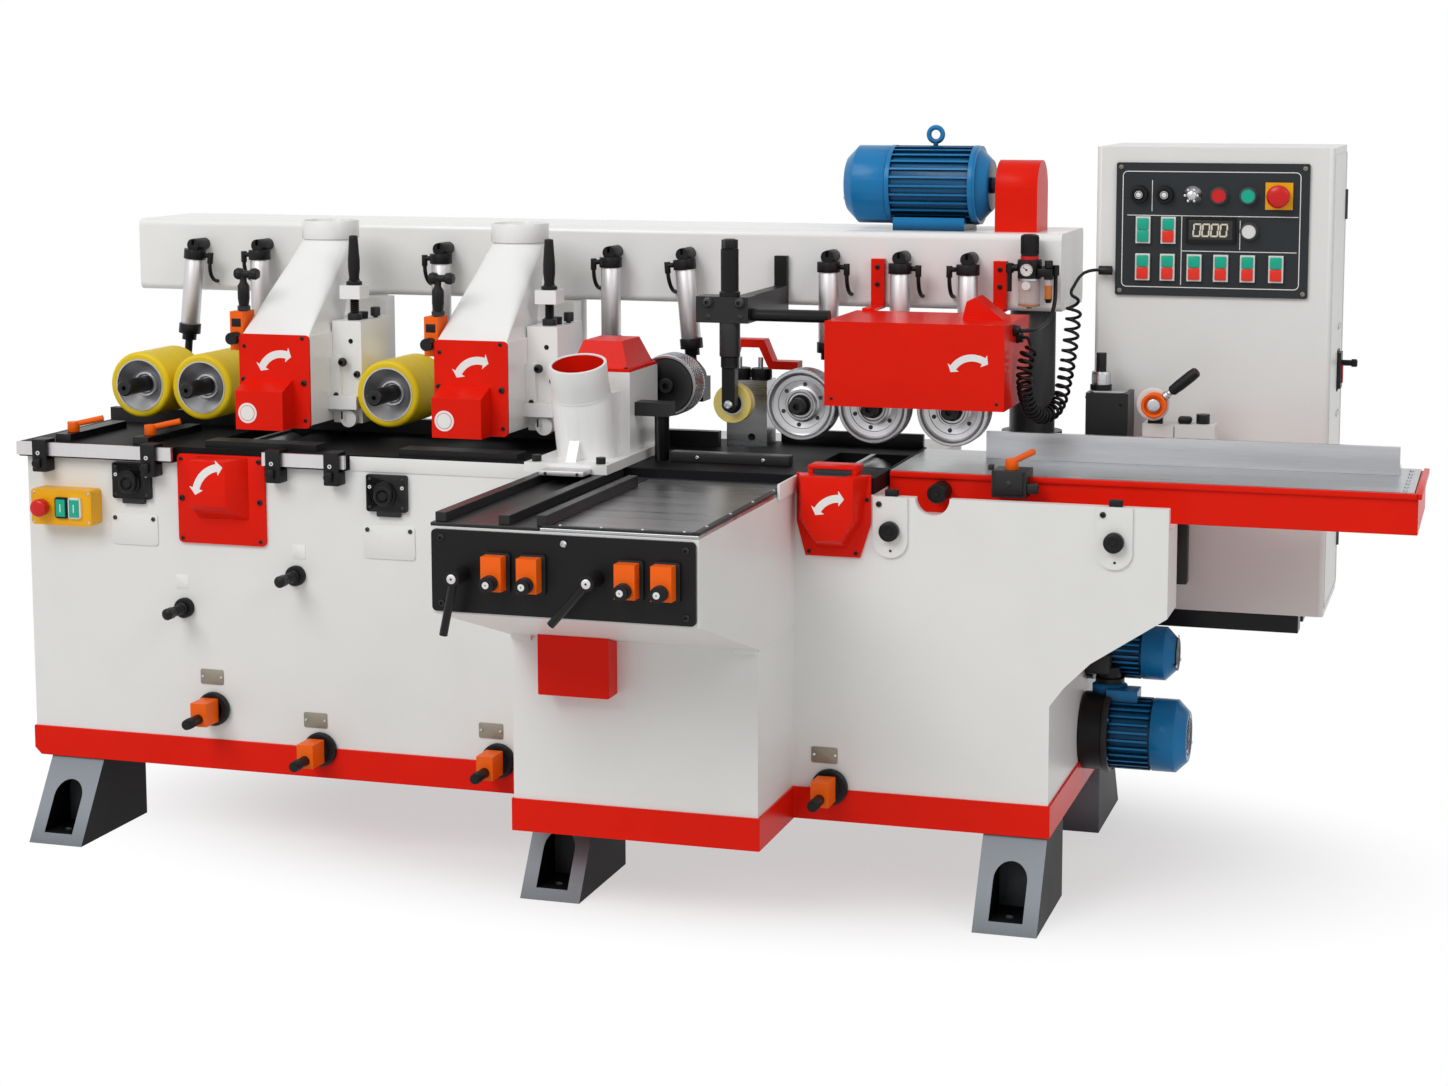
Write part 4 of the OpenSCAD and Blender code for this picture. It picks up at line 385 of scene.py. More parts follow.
def painted_hollow_shade(tree, colour, power, distance):
    """Painted shade: darker in hollows and narrow gaps, where shade falls."""
    hollow = add(tree, "ShaderNodeAmbientOcclusion", {"Distance": distance}, samples=SHADE_SAMPLES)
    sharper = add(tree, "ShaderNodeMath", {0: hollow.outputs["AO"], 1: power}, operation="POWER")
    return mixed(tree, 1.0, colour, sharper.outputs["Value"], "MULTIPLY")


def edge_tone(tree, colour, wear):
    """Paler on worn edges."""
    sharp = add(tree, "ShaderNodeNewGeometry").outputs["Pointiness"]
    return mixed(tree, ranged(tree, sharp, *EDGE_SHARPNESS, 0, wear), colour, tone(WORN))


def surface(name, color, rough=0.4, metal=0.0, vary=0.06, blotch=9, grain=400, bump=0.05,
            stretch=(1, 1, 1), rough_vary=0.08, spec=0.5, front=None, deep=None, wear=0.0):
    """A finish with soft colour blotches, a fine grain in gloss and relief, worn edges, and where
    asked painted light on faces that look to the front (front) and painted shade in hollows (deep).
    """
    mat, tree, bsdf = shader(name)
    place = add(tree, "ShaderNodeTexCoord").outputs["Object"]
    place = add(tree, "ShaderNodeMapping", {"Vector": place, "Scale": stretch}).outputs["Vector"]
    wide = noise(tree, place, blotch, BLOTCH_DETAIL)
    fine = noise(tree, place, grain, GRAIN_DETAIL)
    inputs = {0: GRAIN_SHARE, 2: wide, 3: fine}
    both = add(tree, "ShaderNodeMix", inputs, data_type="FLOAT").outputs[0]
    ramp = add(tree, "ShaderNodeValToRGB", {"Fac": both})
    for stop, at, k in zip(ramp.color_ramp.elements, TONE_STOPS, (1 - vary, 1 + vary)):
        stop.position = at
        stop.color = tone(color, k)
    colour = ramp.outputs["Color"]
    # Painted light: faces that look to the front take a lighter colour
    if front:
        colour = painted_front_light(tree, colour, front)
    # Painted shade: darker in hollows and narrow gaps
    if deep:
        colour = painted_hollow_shade(tree, colour, *deep)
    if wear:
        colour = edge_tone(tree, colour, wear)
    least, most = max(LEAST_ROUGH, rough - rough_vary), min(1, rough + rough_vary)
    gloss = ranged(tree, both, 0, 1, least, most)
    relief = add(tree, "ShaderNodeBump", {"Strength": bump, "Distance": RELIEF, "Height": fine})
    feed(tree, bsdf, {"Base Color": colour, "Roughness": gloss, "Normal": relief.outputs["Normal"],
                      "Metallic": metal, "Specular IOR Level": spec})
    return mat


def clear(name, color):
    """Smoke tinted clear plastic, a little cloudy."""
    mat = surface(name, color, 0.12, vary=0.05, bump=0.02, rough_vary=0.04)
    bsdf = mat.node_tree.nodes["Principled BSDF"]
    feed(mat.node_tree, bsdf, {"Transmission Weight": 0.55, "IOR": 1.2})
    return mat


def materials():
    """All finishes, each under the short name that the pieces use."""
    return {
        "white": surface("white_paint", WHITE, 0.36, vary=0.02, grain=700, spec=0.4),
        # Glossier white, partly painted light: lighter than the white paint
        "gloss": surface("white_gloss_paint_lit", LIT_GLOSS_WHITE, 0.24, vary=0.02, bump=0.04, grain=700),
        "red": surface("red_paint", RED, 0.3, vary=0.05, bump=0.06, grain=700, spec=0.08),
        "black": surface("black_steel", BLACK, 0.36, vary=0.25, bump=0.08, rough_vary=0.12,
                         spec=0.2, wear=0.1),
        # Cast iron with painted light on faces that look to the front and painted shade in hollows
        "iron": surface("cast_iron", IRON, 0.45, vary=0.18, bump=0.3, grain=260, spec=0.08,
                        front=IRON_LIT_FRONT, deep=(1.6, 0.1)),
        "bed": surface("bed_iron", BLACK, 0.5, vary=0.3, blotch=30, bump=0.08, grain=500,
                       stretch=(0.05, 1, 1), spec=0.08),
        "steel": surface("bright_steel", STEEL, 0.3, metal=1, vary=0.14, blotch=40,
                         stretch=(0.04, 1, 1)),
        "table": surface("ground_steel", TABLE, 0.3, metal=1, vary=0.22, blotch=40, grain=900,
                         stretch=(0.03, 1, 1), bump=0.1, rough_vary=0.12),
        "turned": surface("turned_steel", TURNED, 0.36, metal=1, blotch=30, bump=0.04),
        "alu": surface("satin_aluminium", SATIN, 0.46, metal=1, vary=0.03, blotch=40,
                       stretch=(1, 1, 0.05), bump=0.03),
        # Blue paint with painted shade in the hollows between the motor's fins
        "blue": surface("blue_paint", BLUE, 0.26, vary=0.1, bump=0.08, grain=600, spec=0.2,
                        deep=(2.6, 0.02)),
        "tyre": surface("yellow_tyre", YELLOW, 0.42, grain=300, spec=0.3),
        "plastic": surface("black_plastic", BLACK, 0.42, vary=0.2, bump=0.12, grain=1200,
                           spec=0.22),
        "orange": surface("orange_plastic", ORANGE, 0.36, vary=0.05, grain=900, spec=0.2),
        "panel": surface("panel_grey", PANEL, 0.42, vary=0.1, bump=0.1, grain=1500, spec=0.18),
        "yellow": surface("yellow_plastic", BOX_YELLOW, 0.35, vary=0.05, spec=0.3),
        "red_cap": surface("red_plastic", CAP_RED, 0.25, vary=0.05, bump=0.04, spec=0.35),
        "green": surface("green_plastic", GREEN, 0.3, bump=0.04, spec=0.3),
        "print": surface("white_print", PRINT_WHITE, 0.5, vary=0.03, bump=0.02),
        "tarnish": surface("tarnished_plate", TARNISH, 0.45, metal=0.4, vary=0.12, bump=0.1),
        "lamp_red": surface("red_lens", LENS_RED, 0.25, vary=0.05, bump=0.03, spec=0.3),
        "screen": surface("dark_screen", SCREEN, 0.15, vary=0.2, bump=0.02),
        "lit": surface("lit_segment", LIT, 0.4, vary=0.05, bump=0.02),
        "amber": surface("amber_plastic", AMBER, 0.25, vary=0.08, bump=0.03),
        "cream": surface("pale_yellow_tyre", CREAM, 0.45, vary=0.05),
        "dark": surface("dark_grey_paint", DARK_GREY, 0.4, vary=0.1, bump=0.08, spec=0.3),
        "glass": clear("clear_bowl", SMOKE),
        "bare": surface("white_plastic", BARE_WHITE, 0.4, vary=0.03, bump=0.03)}


# The frame's own nodes
def over(least):
    """Limits of a measure that is larger than this."""
    return least, math.inf


def under(most):
    """Limits of a measure that is smaller than this."""
    return -math.inf, most


def near(value, slack=1):
    """Limits of a measure that is about this."""
    return value - slack, value + slack


def fits(low, high, limits):
    """Whether a solid's size and lowest corner lie within limits, each under its name."""
    values = dict(zip(("wide", "deep", "tall", "left", "front", "foot"), (*(high - low), *low)))
    return all(least < values[name] < most for name, (least, most) in limits.items())


def islands(mesh):
    """Faces of each separate solid in a node, with the solid's lowest and highest corner."""
    co = np.zeros(len(mesh.vertices) * 3)
    mesh.vertices.foreach_get("co", co)
    co = co.reshape(-1, 3)
    _, same = np.unique(np.round(co, 5), axis=0, return_inverse=True)
    parent = list(range(same.max() + 1))

    def find(a):
        while parent[a] != a:
            parent[a] = parent[parent[a]]
            a = parent[a]
        return a
    for p in mesh.polygons:
        first = find(same[p.vertices[0]])
        for v in p.vertices[1:]:
            parent[find(same[v])] = first
    groups = {}
    for p in mesh.polygons:
        groups.setdefault(find(same[p.vertices[0]]), []).append(p.index)
    out = []
    for faces in groups.values():
        points = co[[v for f in faces for v in mesh.polygons[f].vertices]]
        out.append((faces, points.min(0) / MM, points.max(0) / MM))
    return out


def solids(node):
    """Lowest and highest corner of each separate solid of a node, in millimetres."""
    return [(low, high) for _, low, high in islands(NODES[node].data)]


def pick(node, **limits):
    """The solids of a node that lie within limits."""
    return [box for box in solids(node) if fits(*box, limits)]


def one(node, **limits):
    """The first solid of a node that lies within limits."""
    return pick(node, **limits)[0]


def reach(node):
    """Lowest and highest corner of a whole node, in millimetres."""
    both = solids(node)
    return np.min([b[0] for b in both], axis=0), np.max([b[1] for b in both], axis=0)


def middle(low, high):
    """The middle of a box."""
    return (low + high) / 2


def hub(low, high):
    """Where the axis of a round box along Y lies in X and Z, and its radius."""
    return (low[0] + high[0]) / 2, (low[2] + high[2]) / 2, (high[0] - low[0]) / 2


def dress(node, mats, common, *others):
    """Gives each solid of a node the first of the other finishes whose limits it fits."""
    mesh = NODES[node].data
    mesh.materials.clear()
    order = []
    for faces, low, high in islands(mesh):
        key = next((other for other, limits in others if fits(low, high, limits)), common)
        if key not in order:
            order.append(key)
            mesh.materials.append(mats[key])
        for f in faces:
            mesh.polygons[f].material_index = order.index(key)


def soften(node, width=1.5, angle=35):
    """Rounds a node's sharp edges."""
    obj = NODES[node]
    weld = obj.modifiers.new("weld", "WELD")
    weld.merge_threshold = 1e-5
    bevel = obj.modifiers.new("bevel", "BEVEL")
    bevel.width = width * MM
    bevel.segments = 2
    bevel.limit_method = "ANGLE"
    bevel.angle_limit = math.radians(angle)
    bevel.harden_normals = True


# Nodes of one finish
PLAIN = {
    "white": ["base_frame"],
    "red": ["base_plinth", "belt_guard", "roller_guard", "spindle_covers", "infeed_frame"],
    "iron": ["machine_feet"],
    "bed": ["bed_plate"],
    "black": ["arm_panel", "press_post", "pressure_shoe", *("carrier_%d" % i for i in range(1, 8))],
    "steel": ["top_cutter_1", "top_cutter_2", "left_cutter", "right_cutter",
              *("feed_roller_%d" % i for i in STEEL_WHEELS)],
    "turned": ["bottom_cutter_1", "bottom_cutter_2"],
    "blue": ["feed_motor"],
    "tyre": ["feed_roller_%d" % i for i in SOFT_ROLLERS],
    "cream": ["press_wheel"],
    "plastic": ["clamp_lever_1", "clamp_lever_2", "curly_hose"],
    "orange": ["bed_lever_1", "bed_lever_2", "fence_lever", "stop_lever"],
    "red_cap": ["emergency_stop", "start_mushroom"]}

# Nodes of several finishes: the common one, then others with the limits of their solids
# The gloss white of the top heads, feed beam and side hood is partly painted light
TOP_HEAD = ("gloss", ("red", {"wide": over(145), "front": under(-45)}),
            ("orange", {"wide": under(29), "deep": over(40)}), ("plastic", {"wide": under(30)}))
SEVERAL = {
    "bed_rails": ("black", ("alu", {"wide": over(100), "front": under(-130)})),
    "bearing_plates": ("black", ("white", {"deep": near(5, 0.5)})),
    "air_cylinders": ("plastic", ("alu", {"tall": over(120)})),
    "feed_beam": ("gloss", ("dark", {"wide": under(130)})),
    "start_box": ("green", ("yellow", {"wide": over(100)})),
    "position_indicators": ("plastic", ("orange", {"wide": near(36, 3)})),
    "arm_frame": ("white", ("red", {"wide": under(300)})),
    "arm_table": ("black", ("table", {"wide": over(250)})),
    "infeed_table": ("steel", ("black", {"wide": under(100)}), ("table", {"tall": under(20)})),
    "cabinet_body": ("black", ("white", {"tall": over(500)})),
    "drive_motors": ("black", ("blue", {"wide": over(50)})),
    "right_block": ("plastic", ("table", {"foot": under(810)}), ("red", {"wide": over(100)})),
    "infeed_stop": ("black", ("bare", {"wide": over(120)}), ("steel", {"wide": near(36)})),
    "top_head_1": TOP_HEAD,
    "top_head_2": TOP_HEAD,
    "side_hood": ("black", ("red", {"foot": over(969)}), ("gloss", {"wide": over(100)})),
    "control_panel": ("plastic", ("panel", {"wide": over(300)}), ("plastic", {"wide": over(80)}),
                      ("bare", {"wide": near(28)}), ("yellow", {"wide": over(50)}),
                      ("red_cap", {"left": near(936)}), ("green", {"left": near(992)}),
                      ("bare", {"left": near(995)})),
    "air_unit": ("plastic", ("glass", {"wide": near(42)}),
                 ("red_cap", {"wide": over(30), "tall": under(8)}), ("bare", {"wide": near(28)}))}


def dress_frame(mats):
    """Finishes for all nodes of the frame."""
    for key, nodes in PLAIN.items():
        for node in nodes:
            dress(node, mats, key)
    for node, finishes in SEVERAL.items():
        dress(node, mats, *finishes)


# Outlines
def round_outline(low, high, r, steps=5):
    """A rectangle with round corners, as points in its own plane."""
    out = []
    for k, (a, b) in enumerate(((1, 1), (0, 1), (0, 0), (1, 0))):
        cx = high[0] - r if a else low[0] + r
        cz = high[1] - r if b else low[1] + r
        for t in range(steps + 1):
            angle = math.pi / 2 * (k + t / steps)
            out.append((cx + r * math.cos(angle), cz + r * math.sin(angle)))
    return out


def ring_outline(x, z, r, steps=28, first=0.0):
    """Points round a circle, the first one turned by a share of a step."""
    angles = [2 * math.pi * (k + first) / steps for k in range(steps)]
    return [(x + r * math.cos(a), z + r * math.sin(a)) for a in angles]


def arrow_outline(x, z, r, start, end, width, head=13, steps=14):
    """A curved arrow with a head at both ends, about a centre, angles in degrees."""
    def at(radius, angle):
        a = math.radians(angle)
        return x + radius * math.cos(a), z + radius * math.sin(a)
    turn = 1 if end > start else -1
    first, last = start + turn * head, end - turn * head
    arc = [first + (last - first) * k / steps for k in range(steps + 1)]
    return ([at(r, start), at(r + width, first)] + [at(r + width / 2, a) for a in arc]
            + [at(r + width, last), at(r, end), at(r - width, last)]
            + [at(r - width / 2, a) for a in reversed(arc)] + [at(r - width, first)])


class Piece:
    """Mesh code in millimetres that ends as one object on one body."""

    def __init__(self, name, body="machine"):
        self.name = name
        self.body = body
        self.bm = bmesh.new()
        self.keys = []

    @staticmethod
    def place(a, b, t, axis):
        """A point from its two places across an axis and its height along it."""
        return ((t, a, b), (a, t, b), (a, b, t))[axis]

    def paint(self, faces, key):
        """Gives faces a finish by its short name."""
        if key not in self.keys:
            self.keys.append(key)
        for face in faces:
            face.material_index = self.keys.index(key)

    def take(self, bm, turn=None):
        """Takes over a painted shape that was built by itself."""
        if turn is not None:
            bmesh.ops.transform(bm, matrix=turn, verts=bm.verts)
        bmesh.ops.recalc_face_normals(bm, faces=bm.faces)
        mesh = bpy.data.meshes.new("shape")
        bm.to_mesh(mesh)
        bm.free()
        self.bm.from_mesh(mesh)
        bpy.data.meshes.remove(mesh)

    def block(self, low, high, key, edge=1.0, turn=None):
        """A box with rounded edges."""
        bm = bmesh.new()
        bmesh.ops.create_cube(bm, size=1)
        low, high = Vector(low), Vector(high)
        for v in bm.verts:
            v.co = (low + high) / 2 + Vector(c * d for c, d in zip(v.co, high - low))
        if edge:
            bmesh.ops.bevel(bm, geom=bm.edges[:], offset=edge, segments=2, profile=0.5,
                            affect="EDGES")
        self.paint(bm.faces, key)
        self.take(bm, turn)

    def ribs(self, low, high, key, edge, at, count, axis="Z"):
        """Equal blocks round an axis through a place."""
        for k in range(count):
            turn = Matrix.Translation(at) @ Matrix.Rotation(2 * math.pi * k / count, 4, axis)
            self.block(low, high, key, edge, turn)

    def plate(self, outline, low, high, key, axis=Y, edge=0.0, top=None):
        """An outline drawn out along an axis, with rims rounded, or all edges if it narrows."""
        bm = bmesh.new()
        rims = []
        for points, t in ((outline, low), (top or outline, high)):
            rims.append(bm.faces.new([bm.verts.new(self.place(a, b, t, axis)) for a, b in points]))
        a, b = rims[0].verts, rims[1].verts
        for k in range(len(outline)):
            n = (k + 1) % len(outline)
            bm.faces.new((a[k], a[n], b[n], b[k]))
        if edge:
            edges = bm.edges[:] if top else [*rims[0].edges, *rims[1].edges]
            bmesh.ops.bevel(bm, geom=edges, offset=edge, segments=2, profile=0.5, affect="EDGES")
        self.paint(bm.faces, key)
        self.take(bm)

    def lathe(self, profile, at=(0, 0, 0), axis=Y, steps=40, turn=None):
        """Turns (radius, height, key) points about an axis; a key paints from its point on."""
        bm = bmesh.new()
        rings = []
        for r, t, *_ in profile:
            circle = ring_outline(0, 0, r, steps) if r > 0 else [(0, 0)]
            places = [Vector(at) + Vector(self.place(a, b, t, axis)) for a, b in circle]
            rings.append([bm.verts.new(place) for place in places])
        key = None
        for point, a, b in zip(profile, rings, rings[1:]):
            key = point[2] if len(point) > 2 else key
            faces = []
            for k in range(steps):
                m = (k + 1) % steps
                if len(a) == 1:
                    faces.append(bm.faces.new((a[0], b[k], b[m])))
                elif len(b) == 1:
                    faces.append(bm.faces.new((a[k], a[m], b[0])))
                else:
                    faces.append(bm.faces.new((a[k], a[m], b[m], b[k])))
            self.paint(faces, key)
        self.take(bm, turn)

    def stroke(self, path, width, face, key, rise=-0.5, closed=False, axis=Y):
        """A raised line along points on a plane across an axis."""
        low, high = sorted((face, face + rise))
        ends = path[1:] + path[:1] if closed else path[1:]
        for start, end in zip(path, ends):
            a, b = Vector(start), Vector(end)
            side = (b - a).normalized().orthogonal() * width / 2
            corners = [tuple(v) for v in (a + side, b + side, b - side, a - side)]
            self.plate(corners, low, high, key, axis)

    def mark(self, outline, face):
        """A printed mark on a face that looks to -Y."""
        self.plate(outline, face - PRINT, face, "print")

    def arrow(self, x, z, form, face):
        """A printed arrow, its centre off a corner at x and z."""
        dx, dz, *bend = form
        self.mark(arrow_outline(x + dx, z + dz, *bend), face)

    def screw(self, at, r, key="black", axis=Y, out=-1, head=0.7):
        """A button head screw with a socket, on a face that looks along out."""
        h = out * r * head
        self.lathe([(0, h * 0.35, key), (r * 0.42, h * 0.35), (r * 0.46, h), (r * 0.7, h * 0.94),
                    (r, h * 0.45), (r, 0)], at, axis, 18)

    def screws(self, xs, ys, zs, r, key="black", axis=Y, out=-1, head=0.7):
        """Equal screws at all places that one or more values of x, y and z make up."""
        for at in itertools.product(*map(np.atleast_1d, (xs, ys, zs))):
            self.screw(at, r, key, axis, out, head)

    def done(self, mats, slot, angle=38, replaces=None):
        """Leaves the piece in the scene, on its body."""
        bmesh.ops.scale(self.bm, vec=(MM, MM, MM), verts=self.bm.verts)
        mesh = bpy.data.meshes.new(self.name)
        self.bm.to_mesh(mesh)
        self.bm.free()
        mesh.shade_smooth()
        mesh.set_sharp_from_angle(angle=math.radians(angle))
        for key in self.keys:
            mesh.materials.append(mats[key])
        obj = show(self.name, mesh)
        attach(obj, self.body)
        if replaces:
            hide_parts(replaces)


# The curly hose
def curve_at(p, i, t):
    """Point and direction at share t of piece i of a smooth curve through points."""
    a, b, c, d = p[max(i - 1, 0)], p[i], p[i + 1], p[min(i + 2, len(p) - 1)]
    first, second, third = c - a, 2 * a - 5 * b + 4 * c - d, 3 * b - a - 3 * c + d
    point = (2 * b + first * t + second * t * t + third * t ** 3) / 2
    return point, (first + second * 2 * t + third * 3 * t * t) / 2


def curly_line():
    """Points along the hose, which winds about its route."""
    p = [Vector(q) * MM for q in HOSE_ROUTE]
    whole, done, line = sum(CURL_COUNTS), 0, []
    for i, count in enumerate(CURL_COUNTS):
        n = max(2, round(CURL_RINGS * count))
        for j in range(n + (i == len(p) - 2)):
            turn = done + count * j / n
            point, ahead = curve_at(p, i, j / n)
            r = CURL_R * min(1, turn, whole - turn)
            if r > 0:
                side = ahead.cross(Vector((0, 1, 0))).normalized()
                up = side.cross(ahead).normalized()
                a = 2 * math.pi * turn
                point = point + r * (math.cos(a) * side + math.sin(a) * up)
            line.append(point)
        done += count
    return line


def curly_hose(mats):
    """The cord from the guard's fitting to the cabinet."""
    line = curly_line()
    data = bpy.data.curves.new("curly_hose_tube", "CURVE")
    data.dimensions = "3D"
    data.bevel_depth = HOSE_D / 2
    data.bevel_resolution = 3
    data.use_fill_caps = True
    spline = data.splines.new("POLY")
    spline.points.add(len(line) - 1)
    for point, at in zip(spline.points, line):
        point.co = (*at, 1)
    data.materials.append(mats["plastic"])
    tube = show("curly_hose_tube", data)
    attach(tube, "machine")
    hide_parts("curly_hose")


# Feed rollers and wheels
def soft_roller(mats, i):
    """A tyred roller with a spun hub and a hollow black stub."""
    name = "feed_roller_%d" % i
    low, high = reach(name)
    x, z, r = hub(low, high)
    end = high[1] - low[1] - STUB
    bend = [(math.sin(a), 1 - math.cos(a)) for a in (math.pi / 12 * k for k in range(7))]
    rim = [(r - TYRE_EDGE * (1 - across), TYRE_EDGE * along) for across, along in bend]
    seams = []
    for share in TYRE_SEAMS:
        y = share * TYRE_W
        seams += [(r, y - 1), (r - 0.9, y - 0.3), (r - 0.9, y + 0.3), (r, y + 1)]
    p = Piece(name + "_look", name)
    p.lathe([(0, 9 - STUB, "black"), (4.5, 9 - STUB), (4.5, -STUB), (13.5, -STUB), (16, 2.5 - STUB),
             *TYRE_HUB, *rim, *seams, *((radius, TYRE_W - y) for radius, y in reversed(rim)),
             (54, TYRE_W, "turned"), (24, TYRE_W), (15, TYRE_W), (15, end), (0, end)],
            (x, low[1] + STUB, z), steps=72)
    p.done(mats, "yellow_tyre", 32, name)


def steel_wheel(mats, i):
    """A wheel with a diamond knurled rim, a dished face and a black nose."""
    name = "feed_roller_%d" % i
    low, high = reach(name)
    x, z, r = hub(low, high)
    nose = SHORT_NOSE if i == 4 else LONG_NOSE
    wide = WHEEL_4_W if i == 4 else WHEEL_W
    face = low[1] + nose
    end = high[1] - face
    inner = r - WHEEL_RIM
    p = Piece(name + "_look", name)
    p.lathe([(0, 8 - nose, "black"), (6, 8 - nose), (6, -nose), (13, -nose), (15.5, 2.5 - nose),
             *WHEEL_HUB, (inner - 14, 11), (inner - 13, 9.5), (inner - 4, 8), (inner - 1, 6),
             (inner + 1, 1.5), (inner + 2.5, 0), (r - 2.6, 0), (r - RIM_EDGE, RIM_EDGE)],
            (x, face, z), steps=72)
    p.lathe([(r - RIM_EDGE, wide - RIM_EDGE, "turned"), (r - 2.6, wide), (inner, wide), (inner, 28),
             (30, 28), (30, wide), (15, wide), (15, end), (0, end)], (x, face, z), steps=72)
    if i == 4:
        near_y, far_y = wheel_disc(name, x, z)
        p.lathe([(15, near_y, "black"), (WHEEL_4_DISC, near_y), (WHEEL_4_DISC, far_y), (15, far_y)],
                (x, 0, z), steps=48)
    knurl(p, x, face, z, r, wide)
    # Painted shade: black holes round the dish
    for hx, hz in ring_outline(x, z, WHEEL_HOLE_SHARE * inner, WHEEL_HOLES, WHEEL_HOLE_TURN):
        p.lathe(WHEEL_HOLE, (hx, face, hz), steps=14)
    p.done(mats, "bright_steel", 24, name)


def wheel_disc(node, x, z):
    """Where the black disc behind wheel 4 begins and ends along Y."""
    points = [v.co / MM for v in NODES[node].data.vertices]
    ys = [v.y for v in points if abs(math.hypot(v.x - x, v.z - z) - WHEEL_4_DISC) < 0.6]
    return min(ys), max(ys)


def knurl(p, x, face, z, r, wide):
    """The rim of a wheel, with points that lie high and low by turns."""
    bm = bmesh.new()
    grid = []
    for row in range(KNURL_ROWS + 1):
        y = face + RIM_EDGE + (wide - 2 * RIM_EDGE) * row / KNURL_ROWS
        edge = RIM_EDGE if row in (0, KNURL_ROWS) else 0
        grid.append([])
        for col in range(KNURL_COLS):
            a = 2 * math.pi * col / KNURL_COLS
            far = r - edge - (KNURL if (row + col) % 2 else 0)
            grid[-1].append(bm.verts.new((x + far * math.cos(a), y, z + far * math.sin(a))))
    for row in range(KNURL_ROWS):
        for col in range(KNURL_COLS):
            n = (col + 1) % KNURL_COLS
            a, b, c, d = grid[row][col], grid[row][n], grid[row + 1][n], grid[row + 1][col]
            halves = ((a, b, d), (b, c, d)) if (row + col) % 2 else ((a, b, c), (a, c, d))
            for half in halves:
                bm.faces.new(half)
    p.paint(bm.faces, "steel")
    p.take(bm)


# Top heads
def hood_details(mats, i):
    """Details on a top head's cover, lift screw, casting and indicator."""
    name = "top_head_%d" % i
    p = Piece("hood_%d_details" % i, name)
    casting = one(name, wide=(55, 70), tall=over(150))
    hood_cover(p, one(name, wide=over(145), front=under(-45))[0])
    lift_screw(p, *one(name, wide=under(30), tall=over(90)), casting[1][2])
    hood_casting(p, *casting)
    hood_indicator(p, *one(name, wide=under(29), deep=over(40)))
    p.done(mats, "red_paint")


def hood_cover(p, low):
    """Screws, an arrow and a plain disc on a red cover."""
    x, front, z = low
    face = front + HUMP_OUT
    for dx, dz, r in HOOD_SCREWS:
        p.screw((x + dx, face, z + dz), r)
    p.arrow(x, z, HOOD_ARROW, face)
    for r, out, back, key in HOOD_DISC:
        p.plate(ring_outline(x + 40, z + 33, r), front - out, front - back, key)


def lift_screw(p, low, high, foot):
    """The ends of the black grip, and the nut and thread below it."""
    x, y, _ = middle(low, high)
    p.lathe(GRIP_END, (x, y, high[2]), Z, 20)
    p.lathe(GRIP_COLLAR, (x, y, low[2]), Z, 24)
    thread = [(8 + 1.5 * (k % 2), 2 + 2 * k) for k in range(6, 21)]
    p.lathe([*LIFT_NUT, *thread], (x, y, foot), Z, 24)


def hood_casting(p, low, high):
    """Screws, a hole, a slot and a knob on the slide casting."""
    x, y, _ = low
    top = high[2]
    for dx, dy, dz, r in CASTING_SCREWS:
        p.screw((x + dx, CASTING_FRONT + dy, top + dz), r, head=1.1)
    # Painted shade: the hole is a black disc and the slot a black bar
    p.lathe(CASTING_HOLE, (x + 40, CASTING_FRONT, top - 40), Y, 16)
    p.block((x + 28, y - 0.8, top - 194), (x + 32, y + 1, top - 178), "black", 0.5)
    p.lathe(CASTING_KNOB, (high[0] - 13, high[1] - 40, top), Z, 24)


def hood_indicator(p, low, high):
    """The stem and grip above an orange indicator, its window and its knob's dot."""
    (x0, y0, z0), (x1, _, z1) = low, high
    p.lathe(INDICATOR_STEM, (x1 - 4, y0 + 15, z1), Z, 20)
    p.lathe(INDICATOR_GRIP, (x1 - 4, y0 + 15, z1 + 74), X, 20)
    p.block((x0 + 4, y0 - 1.2, z1 - 30), (x1 - 4, y0, z1 - 14), "plastic", 0.4)
    p.lathe(KNOB_DOT, ((x0 + x1) / 2, y0, z0 + 18), Y, 16)


# Covers of the bottom heads, and the roller guard
def covers(mats):
    """The two covers of the bottom heads with their humps, and the lid of the right one."""
    (x0, _, z0), (x1, _, z1) = min(solids("spindle_covers"), key=lambda box: box[0][0])
    p = Piece("spindle_covers_look")
    plate = BASE_FRONT - COVER_T
    left_plate = round_outline((x0, z0), (x1, z1), 8)
    for outline, hump, face, out in ((left_plate, LEFT_HUMP, LEFT_FACE, LEFT_HUMP_OUT),
                                     (RIGHT_PLATE, RIGHT_HUMP, RIGHT_FACE, RIGHT_HUMP_OUT)):
        p.plate(outline, plate, BASE_FRONT, "red", edge=1.2)
        p.plate(hump, plate + 1, plate - out, "red", edge=2, top=face)
    (x0, y0, z0), (x1, y1, _) = RIGHT_LID
    foot = RIGHT_TOP - 1
    p.block(*RIGHT_LID, "red", 1.5)
    for x in (x0 + 1, x1 - 9):
        p.block((x, y0 + 2, foot), (x + 8, y1 - 2, z0 + 1), "red", 1)
    # Painted shade: a dark block fills the gap under the lid, and a thin dark strip lies on the
    # cover in front of it
    p.block((x0 + 8, y0 + 4, foot), (x1 - 8, y1 - 4, z0 + 1), "dark", 0.5)
    p.block((x0 + 16, y0 - 16, foot), (x1 - 16, y0 + 5, foot + 1.4), "dark", 0.2)
    p.done(mats, "red_paint", 30, "spindle_covers")


